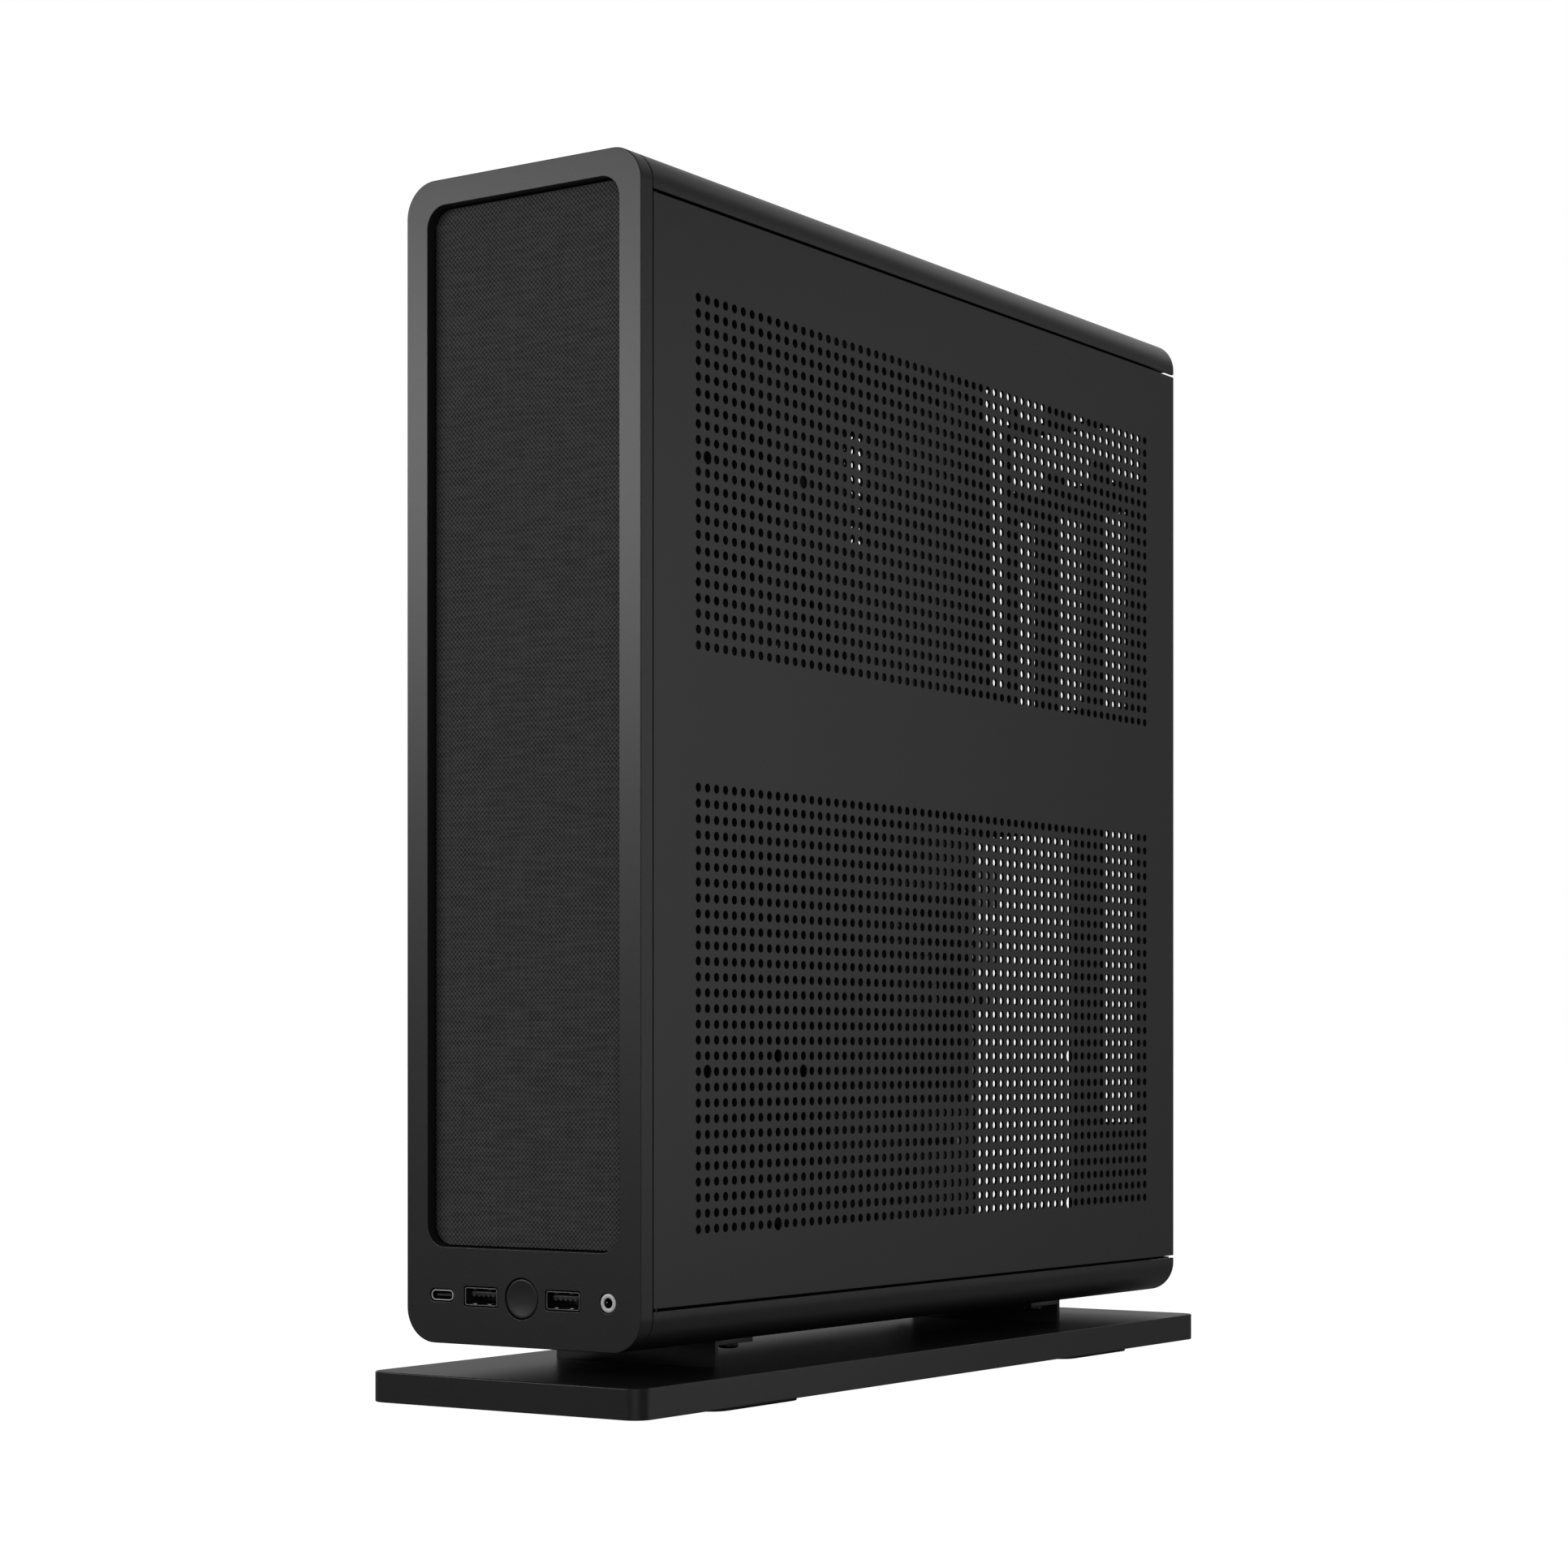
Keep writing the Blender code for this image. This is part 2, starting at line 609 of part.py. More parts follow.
def build_front_ports():
    front = FRONT_Y + 0.2
    usb_a = dict(along_sizes=(USB_A_W, USB_A_H), depth=18.0, wall=0.6, tongue=(10.0, 1.4, 0.9, 1.5),
                 finish="port_dark", corner=0.8, front=front)
    socket("usb_a_left", (-USB_A_X, PORT_Z), **usb_a)
    socket("usb_a_right", (USB_A_X, PORT_Z), **usb_a)
    socket("usb_c_port", (USB_C_X, PORT_Z), (USB_C_W, USB_C_H), 10.0, 0.7, (6.4, 0.7, 0, 1.2),
           "port_metal", 1.7, front)
    profile = [(0, -13.0), (1.75, -13.0), (1.75, -0.2), (JACK_R, -0.2), (JACK_R, -15.0), (0, -15.0)]
    turned("audio_jack", profile, (JACK_X, FRONT_Y, PORT_Z), "Y", "port_metal", 24)
    power_button()
    board_top = PORT_Z - USB_A_H / 2 - GAP
    outline = [(-41.0, -167.6), (-8.5, -167.6), (-8.5, -165.5), (8.5, -165.5), (8.5, -167.6), (41.0, -167.6),
               (41.0, -132.0), (-41.0, -132.0)]
    mesh = plate_mesh("front_io_board", [outline], "Z", board_top - 1.6, board_top)
    board = mesh_object("front_io_board", mesh, "board")
    fuse(board, [box_mesh("header", (-9.0, -145.0, board_top - 0.4), (9.0, -137.0, board_top + 7.0))])
    low, high = (-4.0, -160.6, board_top + GAP), (4.0, -154.0, PORT_Z + 4.0)
    switch = box("power_switch", low, high, "plastic_black")
    fuse(switch, [rod_mesh("plunger", (0, PORT_Z), "Y", -162.4, -160.0, 1.7)])


# Fans -----------------------------------------------------------------------------------------


def fan_frame(name, centre, along, low, thickness=FAN_T):
    """A square frame with a round duct, and a motor plate held by three arms at its low side."""
    u, v = centre
    half = FAN_SIDE / 2
    outlines = [rounded(u - half, v - half, u + half, v + half, 4.6, 3), circle(u, v, FAN_HOLE_R, 32)]
    obj = mesh_object(name, plate_mesh(name, outlines, along, low, low + thickness), "plastic_black", 35)
    lattice = [circle(u, v, FAN_HOLE_R + 1.0, 32)]
    for i in range(3):
        lattice.append(sector(centre, 90 + 120 * i, 210 + 120 * i))
    return fuse(obj, [plate_mesh(name, lattice, along, low + 0.4, low + 2.4)])


def sector(centre, start, end, inner=14.0, outer=FAN_HOLE_R - 1.2, arm=4.0):
    """The opening between two motor arms."""
    far, near = (math.degrees(math.asin(arm / 2 / radius)) for radius in (outer, inner))
    return arc(centre, outer, start + far, end - far, 8) + arc(centre, inner, end - near, start + near, 6)


def fan_rotor(name, centre, along, low, radius, height, blades=7):
    """A hub with swept, pitched blades; the object's origin is on the spin axis."""
    u, v = centre
    hub_r = 13.0
    work = bmesh.new()
    bmesh.ops.create_cone(work, cap_ends=True, segments=28, radius1=hub_r * MM, radius2=(hub_r - 0.6) * MM,
                          depth=height * MM)
    mesh = bpy.data.meshes.new(name)
    work.to_mesh(mesh)
    work.free()
    obj = mesh_object(name, mesh, "plastic_black", 35)
    blade_mesh = bpy.data.meshes.new(name + "_blades")
    work = bmesh.new()
    for i in range(blades):
        rows = []
        for j in range(4):
            r = hub_r - 1.5 + (radius - hub_r + 1.5) * j / 3
            middle = 2 * math.pi * i / blades + 0.28 * j / 3
            spread = 0.62 * hub_r / r + 0.22
            rise = (height / 2 - 1.4) * (1.0 - 0.25 * j / 3)
            row = []
            for k in (-1, 0, 1):
                angle = middle + k * spread / 2
                spot = (r * MM * math.cos(angle), r * MM * math.sin(angle), k * rise * MM)
                row.append(work.verts.new(spot))
            rows.append(row)
        for inner, outer in zip(rows, rows[1:]):
            for k in (0, 1):
                work.faces.new((inner[k], outer[k], outer[k + 1], inner[k + 1]))
    bmesh.ops.recalc_face_normals(work, faces=work.faces)
    bmesh.ops.solidify(work, geom=list(work.faces), thickness=1.1 * MM)
    bmesh.ops.recalc_face_normals(work, faces=work.faces)
    work.to_mesh(blade_mesh)
    work.free()
    middle = low + height / 2
    spot = {"X": (middle, u, v), "Y": (u, middle, v), "Z": (u, v, middle)}[along]
    place = Matrix.Translation(metres(spot)) @ TURNS[along].to_4x4()
    tool = mesh_object(name + "_blade_set", blade_mesh)
    obj.matrix_world = place
    tool.matrix_world = place
    step = obj.modifiers.new("blades", "BOOLEAN")
    step.operation = "UNION"
    step.object = tool
    return obj


def build_intake_fans():
    for z, word in zip(INTAKE_Z, ("low", "high")):
        fan_frame(f"intake_fan_frame_{word}", (0, z), "Y", INTAKE_Y)
        fan_rotor(f"intake_fan_rotor_{word}", (0, z), "Y", INTAKE_Y + 3.0, 36.6, 10.5)


# Main board and what stands on it -------------------------------------------------------------


def on_board(start, height, low_y, low_z, high_y, high_z):
    """Corners of a box standing on the board's face."""
    return (BOARD_FACE + start, low_y, low_z), (BOARD_FACE + start + height, high_y, high_z)


def motherboard():
    low_y = BOARD_REAR - BOARD_SIDE
    high_z = BOARD_LOW + BOARD_SIDE
    board = box("motherboard", (BOARD_X, low_y, BOARD_LOW), (BOARD_FACE, BOARD_REAR, high_z), "board")
    parts = []
    for y in (8.0, 15.0):
        parts.append(on_board(-0.5, 8.5, y - 3.0, 55.0, y + 3.0, 68.0))
        parts.append(on_board(-0.5, 8.5, y - 3.0, 189.0, y + 3.0, 202.0))
        parts.append(on_board(-0.5, 2.5, y - 2.9, 60.0, y + 2.9, 197.0))
    parts.append(on_board(-0.5, 14.5, 50.0, 182.0, 102.0, 191.5))
    parts.append(on_board(-0.5, 9.5, 84.0, 45.5, 104.0, 52.5))
    parts.append(on_board(-0.5, 4.5, 110.0, 88.0, 136.0, 93.0))
    parts.append(on_board(-0.5, 5.5, 118.0, 60.0, 130.0, 72.0))
    fuse(board, [box_mesh("on_board", low, high) for low, high in parts])


def stack_box(name, layer, half, finish, bevel=0.0):
    start, height = STACK[layer]
    corners = on_board(start, height, CPU_Y - half, CPU_Z - half, CPU_Y + half, CPU_Z + half)
    return box(name, *corners, finish, bevel)


def heatsink(name, low, high, base, fins, finish):
    """Fins standing along X on a base, all from one extruded outline in (X, Z)."""
    pitch = (high[2] - low[2]) / (fins - 0.5)
    fin = pitch / 2
    root = low[0] + base
    outline = [(low[0], high[2]), (low[0], low[2])]
    for i in range(fins):
        start = low[2] + i * pitch
        end = min(start + fin, high[2])
        if i:
            outline.append((root, start))
        outline += [(high[0], start), (high[0], end)]
        if i < fins - 1:
            outline.append((root, end))
    plate(name, [outline], "Y", low[1], high[1], finish)


def build_main_board():
    motherboard()
    for y, z, word in ((12.0, 47.0, "low_front"), (12.0, 206.0, "high_front"), (160.0, 47.0, "low_rear"),
                       (160.0, 206.0, "high_rear")):
        mesh = rod_mesh(word, (y, z), "X", TRAY_X + GAP, BOARD_X - GAP, 3.2, 6)
        mesh_object(f"standoff_{word}", mesh, "cpu_metal")
    stack_box("cpu_socket", "socket", 24.0, "plastic_black")
    stack_box("cpu", "cpu", 18.5, "cpu_metal", 0.8)
    low, high = on_board(*STACK["sink"], CPU_Y - 40, CPU_Z - 40, CPU_Y + 40, CPU_Z + 40)
    heatsink("cpu_heatsink", low, high, 4.0, 26, "aluminium")
    start = BOARD_FACE + CPU_FAN_START
    fan_frame("cpu_fan_frame", (CPU_Y, CPU_Z), "X", start)
    fan_rotor("cpu_fan_rotor", (CPU_Y, CPU_Z), "X", start + 3.0, 36.6, 10.5)
    for y, word in ((8.0, "outer"), (15.0, "inner")):
        corners = on_board(2.4, 31.0, y - 1.6, 69.0, y + 1.6, 188.0)
        box(f"ram_module_{word}", *corners, "plastic_black", 0.4)
    box("ssd", *on_board(0.8, 4.2, 112.0, 94.0, 134.0, 174.0), "aluminium", 0.4)
    rear = dict(depth=19.0, wall=0.6, finish="port_metal", front=REAR_FACE + 0.4)
    for name, z, width, height, corner, tongue in (
        ("hdmi_port", 182.0, 15.0, 5.6, 1.2, (11.6, 1.1, 0, 1.5)),
        ("usb_a_rear", 158.0, USB_A_W, USB_A_H, 0.8, (10.0, 1.4, 0.9, 1.5)),
        ("usb_c_rear", 136.0, USB_C_W, USB_C_H, 1.7, (6.4, 0.7, 0, 1.2)),
    ):
        board_port(name, z, width, height, corner, tongue, rear)


def board_port(name, z, width, height, corner, tongue, rear):
    """A rear connector: its wide side runs up the board."""
    x = BOARD_FACE + GAP + height / 2
    half_w, half_h = width / 2, height / 2
    front, wall = rear["front"], rear["wall"]
    back = front - rear["depth"]
    floor = back + SOCKET_BACK
    outer = rounded(x - half_h, z - half_w, x + half_h, z + half_w, corner, 4)
    inner_r = max(corner - wall, 0.2)
    mouth = rounded(x - half_h + wall, z - half_w + wall, x + half_h - wall, z + half_w - wall, inner_r, 4)
    obj = mesh_object(name, plate_mesh(name, [outer], "Y", back, front), rear["finish"])
    cut(obj, [plate_mesh(name, [mouth], "Y", floor, front + 1)])
    tongue_w, tongue_t, offset, setback = tongue
    low = (x + offset - tongue_t / 2, floor - 1, z - tongue_w / 2)
    high = (x + offset + tongue_t / 2, front - setback, z + tongue_w / 2)
    fuse(obj, [box_mesh(name, low, high)])


# Power supply and mains -----------------------------------------------------------------------


def build_power_supply():
    """The supply's case is a block with a round well for its fan, which faces the right panel."""
    supply = box("power_supply", PSU_LOW, PSU_HIGH, "sheet_steel", 0.6)
    y, z = (PSU_LOW[1] + PSU_HIGH[1]) / 2, (PSU_LOW[2] + PSU_HIGH[2]) / 2
    cut(supply, [rod_mesh("well", (y, z), "X", PSU_HIGH[0] - 15.0, PSU_HIGH[0] + 1, PSU_FAN_R, 40)])
    fan_rotor("power_supply_fan_rotor", (y, z), "X", PSU_HIGH[0] - 13.5, PSU_FAN_R - 1.6, 10.0, 9)
    rings = []
    for radius in (12.0, 24.0, 36.0):
        rings.append([circle(y, z, radius + 0.9, 20), circle(y, z, radius - 0.9, 20)])
    low, high = PSU_HIGH[0] + GAP, PSU_HIGH[0] + GAP + 1.4
    grille = mesh_object("power_supply_grille", plate_mesh("grille", rings[0], "X", low, high), "sheet_steel")
    more = [plate_mesh("ring", ring, "X", low, high) for ring in rings[1:]]
    for angle, offset in ((45, 0.1), (135, 0.2)):
        turn = Vector((math.cos(math.radians(angle)), math.sin(math.radians(angle))))
        side = Vector((-turn.y, turn.x)) * 1.1
        middle = Vector((y, z))
        reach = turn * 50.0
        outline = [middle - reach - side, middle + reach - side, middle + reach + side, middle - reach + side]
        bar = [tuple(point) for point in outline]
        more.append(plate_mesh("bar", [bar], "X", low + offset, high + offset))
    fuse(grille, more)
    shelf_top = PSU_LOW[2] - GAP
    shelf = [(TRAY_X + GAP, shelf_top - 16), (TRAY_X + GAP + 1.2, shelf_top - 16),
             (TRAY_X + GAP + 1.2, shelf_top - 1.2), (PSU_HIGH[0], shelf_top - 1.2), (PSU_HIGH[0], shelf_top),
             (TRAY_X + GAP, shelf_top)]
    plate("power_supply_shelf", [shelf], "Y", PSU_LOW[1] + 5, PSU_HIGH[1] - 5, "sheet_steel")


def mains_inlet():
    """The inlet and the mains switch share one moulding, put in from behind the case."""
    low_x, high_x = INLET_X - 14.0, ROCKER_X + 9.0
    low, high = (low_x, 154.0, INLET_Z - 10.5), (high_x, 181.0, INLET_Z + 10.5)
    body = box("mains_inlet", low, high, "plastic_black")
    flange = rounded(low_x - 3.5, INLET_Z - 13.0, high_x + 3.5, INLET_Z + 13.0, 3, 4)
    fuse(body, [plate_mesh("flange", [flange], "Y", REAR_FACE + GAP, 181.6)])
    top, side, chamfer = 8.6, 12.2, 5.0
    mouth = [(INLET_X - side, INLET_Z - top), (INLET_X + side, INLET_Z - top),
             (INLET_X + side, INLET_Z + top - chamfer), (INLET_X + side - chamfer, INLET_Z + top),
             (INLET_X - side + chamfer, INLET_Z + top), (INLET_X - side, INLET_Z + top - chamfer)]
    well = rounded(ROCKER_X - 6.2, INLET_Z - 9.2, ROCKER_X + 6.2, INLET_Z + 9.2, 0.8, 2)
    cut(body, [plate_mesh("mouth", [mouth], "Y", 166.0, 183.0)])
    cut(body, [plate_mesh("well", [well], "Y", 170.0, 183.0)])
    pins = []
    for x, z in ((INLET_X - 7, INLET_Z - 2), (INLET_X, INLET_Z + 2), (INLET_X + 7, INLET_Z - 2)):
        pins.append(box_mesh("pin", (x - 1, 165.0, z - 2), (x + 1, 179.0, z + 2)))
    fuse(body, pins)


def mains_rocker():
    """A shallow V that tips about its middle, at rest with its upper half pressed in."""
    half, depth = 8.2, 5.0
    outline = [(-depth, -3.0), (-depth, 3.0), (2.0, half), (7.0, half), (5.4, 0), (7.0, -half), (2.0, -half)]
    mesh = plate_mesh("rocker", [outline], "X", -ROCKER_W / 2, ROCKER_W / 2)
    obj = mesh_object("mains_rocker", mesh, "plastic_black")
    obj.location = metres((ROCKER_X, ROCKER_PIVOT_Y, INLET_Z))
    obj.rotation_euler.x = math.radians(ROCKER_TILT)


def build_mains():
    mains_inlet()
    mains_rocker()


def build_cables():
    """The three leads held inside the case, each from one connector to another."""
    cable("mains_lead", [(-20, 153.4, 228), (-20, 149, 228), (-22, 140, 228), (-31, 126, 230),
                         (-38, 106, 240), (-39, 76, 262), (-39, 40, 300), (-38, 0, 334), (-34, -28, 346),
                         (-30, -40, 350), (-30, -45, 350), (-30, -49.4, 350)], 3.2, "cable")
    cable("board_power_cable", [(-26, -49.4, 262), (-26, -45, 262), (-26, -36, 261), (-25, -22, 252),
                                (-24, -6, 232), (-24, 8, 218), (-24, 28, 214), (-24.5, 50, 218),
                                (-26, 66, 216), (-28, 74, 206), (-28.6, 76, 197), (-28.6, 76, 192)],
          4.0, "cable")
    cable("front_port_cable", [(0, -131.4, 34.5), (0, -127, 34.5), (-4, -118, 32), (-14, -98, 29),
                               (-26, -60, 28), (-30, -10, 28), (-31, 30, 28), (-31, 64, 28), (-31, 84, 30),
                               (-31.8, 93, 36), (-32.8, 94, 42), (-32.8, 94, 45)], 2.4, "cable")


build_stand()
build_case()
build_fabric_front()
build_front_ports()
build_intake_fans()
build_main_board()
build_power_supply()
build_mains()
build_cables()
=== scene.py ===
import math
import bmesh
import bpy
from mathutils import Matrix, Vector


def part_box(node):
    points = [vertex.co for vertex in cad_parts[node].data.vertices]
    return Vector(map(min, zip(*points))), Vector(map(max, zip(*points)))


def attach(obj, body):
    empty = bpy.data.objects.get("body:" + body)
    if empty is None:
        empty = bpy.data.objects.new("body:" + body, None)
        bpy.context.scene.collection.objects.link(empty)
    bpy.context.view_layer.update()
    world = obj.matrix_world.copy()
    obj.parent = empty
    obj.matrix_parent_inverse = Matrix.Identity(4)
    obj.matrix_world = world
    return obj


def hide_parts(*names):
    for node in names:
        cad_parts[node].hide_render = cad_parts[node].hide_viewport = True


# A slim upright mini PC: perforated metal case, fabric front and a flat stand.
# Everything is in metres; mm turns the settings below into metres.
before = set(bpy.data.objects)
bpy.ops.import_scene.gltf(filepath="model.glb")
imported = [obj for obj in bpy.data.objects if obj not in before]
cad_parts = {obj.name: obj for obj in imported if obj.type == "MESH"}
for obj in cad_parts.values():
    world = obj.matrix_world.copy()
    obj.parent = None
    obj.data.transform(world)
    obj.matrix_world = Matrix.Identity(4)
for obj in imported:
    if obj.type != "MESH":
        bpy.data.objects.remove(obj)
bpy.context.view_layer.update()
mm = 0.001
print("frame loaded:", len(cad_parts), "nodes")


# small helpers used all through

def inMetres(values):
    return [value * mm for value in values]


def lengths(**settings):
    # settings in millimetres, turned into metres: decimal numbers are lengths, whole numbers are counts
    def metres(value):
        if isinstance(value, float):
            return value * mm
        if isinstance(value, (tuple, list)):
            return [metres(part) for part in value]
        if isinstance(value, dict):
            return {key: metres(part) for key, part in value.items()}
        return value
    return metres(settings)


def middleOf(node, axis=None, end=0):
    # middle of a part's box, or of its low (0) or high (1) face along one axis
    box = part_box(node)
    middle = (box[0] + box[1]) / 2
    if axis is not None:
        middle[axis] = box[end][axis]
    return middle


def onlySelect(*objs):
    if bpy.context.mode != "OBJECT":
        bpy.ops.object.mode_set(mode="OBJECT")
    bpy.ops.object.select_all(action="DESELECT")
    for obj in objs:
        obj.select_set(True)
    if objs:
        bpy.context.view_layer.objects.active = objs[0]


def rename(obj, name):
    obj.name = name
    obj.data.name = name
    return obj


def settle(obj, name=None):
    # turn place, rotation and size into the mesh
    if name:
        rename(obj, name)
    onlySelect(obj)
    bpy.ops.object.transform_apply(location=True, rotation=True, scale=True)
    return obj


def addBox(name, low, high):
    onlySelect()
    low, high = Vector(low), Vector(high)
    bpy.ops.mesh.primitive_cube_add(size=1, location=(low + high) / 2)
    obj = bpy.context.object
    obj.scale = high - low
    return settle(obj, name)


def addRod(name, start, end, radius, sides=32, endRadius=None):
    # round bar or cone between two points
    onlySelect()
    start, end = Vector(start), Vector(end)
    far = radius if endRadius is None else endRadius
    bpy.ops.mesh.primitive_cone_add(vertices=sides, radius1=radius, radius2=far, depth=(end - start).length,
                                    location=(start + end) / 2,
                                    rotation=(end - start).to_track_quat("Z", "Y").to_euler())
    return settle(bpy.context.object, name)


def pick(obj, kind, test):
    # go into edit mode with only the matching verts, edges or faces selected
    onlySelect(obj)
    bpy.ops.object.mode_set(mode="EDIT")
    bpy.ops.mesh.select_mode(type=kind)
    bpy.ops.mesh.select_all(action="DESELECT")
    mesh = bmesh.from_edit_mesh(obj.data)
    for part in {"VERT": mesh.verts, "EDGE": mesh.edges, "FACE": mesh.faces}[kind]:
        if test(part):
            part.select_set(True)
    mesh.select_flush_mode()
    bmesh.update_edit_mesh(obj.data)


def endEdit():
    bpy.ops.object.mode_set(mode="OBJECT")


def edgeAlong(axis):
    # test for straight edges that run along one axis
    def test(edge):
        run = edge.verts[1].co - edge.verts[0].co
        return run.length > 0 and abs(run[axis]) > 0.999 * run.length
    return test


def bevelEdges(obj, test, width, segments):
    pick(obj, "EDGE", test)
    bpy.ops.mesh.bevel(offset=width, segments=segments, affect="EDGES")
    endEdit()


def applyModifier(obj, kind, **settings):
    onlySelect(obj)
    modifier = obj.modifiers.new(kind.lower(), kind)
    for key, value in settings.items():
        setattr(modifier, key, value)
    bpy.ops.object.modifier_apply(modifier=modifier.name)
    return obj


def joinAll(name, pieces):
    onlySelect(*pieces)
    if len(pieces) > 1:
        bpy.ops.object.join()
    return rename(bpy.context.view_layer.objects.active, name)


def cutWith(obj, cutters, operation="DIFFERENCE"):
    # cut with separate cutters joined into one
    tool = joinAll("cutter", cutters)
    applyModifier(obj, "BOOLEAN", operation=operation, object=tool, solver="EXACT")
    discard(tool)
    return obj


def soften(obj, width, segments=2, angle=40):
    # round every sharp edge a little, with flat faces that stay flat
    onlySelect(obj)
    bpy.ops.object.shade_smooth()
    applyModifier(obj, "BEVEL", width=width, segments=segments, limit_method="ANGLE",
                  angle_limit=math.radians(angle), harden_normals=True, use_clamp_overlap=True)
    return obj


def smoothByAngle(obj, angle=40):
    onlySelect(obj)
    bpy.ops.object.shade_smooth_by_angle(angle=math.radians(angle))
    return obj


def duplicate(obj, name):
    onlySelect(obj)
    bpy.ops.object.duplicate(linked=False)
    return rename(bpy.context.object, name)


def discard(obj):
    bpy.data.objects.remove(obj, do_unlink=True)


def finishPiece(obj, body, finish, slot, *nodes):
    # give the finished mesh its finish and its place in the model
    obj.data.materials.clear()
    obj.data.materials.append(finishes[finish])
    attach(obj, body)
    if nodes:
        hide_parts(*nodes)
    return obj


def refined(node, width=0.15 * mm, segments=1, angle=40):
    # a merged copy of a CAD part, with its edges broken
    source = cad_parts[node]
    obj = source.copy()
    obj.data = source.data.copy()
    for key in list(obj.keys()):
        del obj[key]
    obj.parent = None
    bpy.context.scene.collection.objects.link(obj)
    rename(obj, node + "_piece")
    pick(obj, "VERT", lambda vert: True)
    bpy.ops.mesh.remove_doubles(threshold=2e-6)
    bpy.ops.mesh.dissolve_limited(angle_limit=math.radians(1))
    endEdit()
    if width:
        soften(obj, width, segments, angle)
    else:
        smoothByAngle(obj, angle)
    return obj


# finishes: all read Object coordinates

def newFinish(name):
    finish = bpy.data.materials.new(name)
    finish.use_nodes = True
    return finish, finish.node_tree, finish.node_tree.nodes["Principled BSDF"]


def setInputs(node, **values):
    for key, value in values.items():
        node.inputs[key].default_value = value


def setSurface(tree, shader, colour, roughness):
    tree.links.new(colour, shader.inputs["Base Color"])
    tree.links.new(roughness, shader.inputs["Roughness"])


def addNode(tree, kind, **values):
    node = tree.nodes.new(kind)
    for key, value in values.items():
        if key in node.inputs:
            node.inputs[key].default_value = value
        else:
            setattr(node, key, value)
    return node


def objectPlace(tree, scale=(1, 1, 1), turn=(0, 0, 0)):
    place = addNode(tree, "ShaderNodeTexCoord")
    mapping = addNode(tree, "ShaderNodeMapping", Scale=scale, Rotation=turn)
    tree.links.new(place.outputs["Object"], mapping.inputs["Vector"])
    return mapping.outputs["Vector"]


def noise(tree, place, scale, detail=3.0, roughness=0.5):
    node = addNode(tree, "ShaderNodeTexNoise", Scale=scale, Detail=detail, Roughness=roughness)
    tree.links.new(place, node.inputs["Vector"])
    return node.outputs["Fac"]


def ramp(tree, value, low, high, inLow=0.3, inHigh=0.7):
    node = addNode(tree, "ShaderNodeMapRange",
                   **{"From Min": inLow, "From Max": inHigh, "To Min": low, "To Max": high})
    tree.links.new(value, node.inputs["Value"])
    return node.outputs["Result"]


def mixColours(tree, factor, first, second):
    node = addNode(tree, "ShaderNodeMix", data_type="RGBA")
    tree.links.new(factor, node.inputs["Factor"])
    for socket, colour in ((node.inputs[6], first), (node.inputs[7], second)):
        if isinstance(colour, tuple):
            socket.default_value = (*colour, 1)
        else:
            tree.links.new(colour, socket)
    return node.outputs[2]


def calc(tree, operation, first, second=None):
    node = addNode(tree, "ShaderNodeMath", operation=operation)
    for socket, value in zip(node.inputs, (first, second)):
        if value is None:
            continue
        if isinstance(value, (int, float)):
            socket.default_value = value
        else:
            tree.links.new(value, socket)
    return node.outputs[0]


def addBump(tree, shader, height, strength, distance, under=None):
    bump = addNode(tree, "ShaderNodeBump", Strength=strength, Distance=distance)
    tree.links.new(height, bump.inputs["Height"])
    if under is not None:
        tree.links.new(under, bump.inputs["Normal"])
    tree.links.new(bump.outputs["Normal"], shader.inputs["Normal"])
    return bump.outputs["Normal"]


def edgeWear(tree, amount):
    # light on worn outer edges, broken up by noise
    shape = addNode(tree, "ShaderNodeNewGeometry")
    edge = ramp(tree, shape.outputs["Pointiness"], 0, 1, 0.515, 0.56)
    scuff = ramp(tree, noise(tree, objectPlace(tree), 220, 4, 0.6), 0, 1, 0.42, 0.62)
    return calc(tree, "MULTIPLY", calc(tree, "MULTIPLY", edge, scuff), amount)


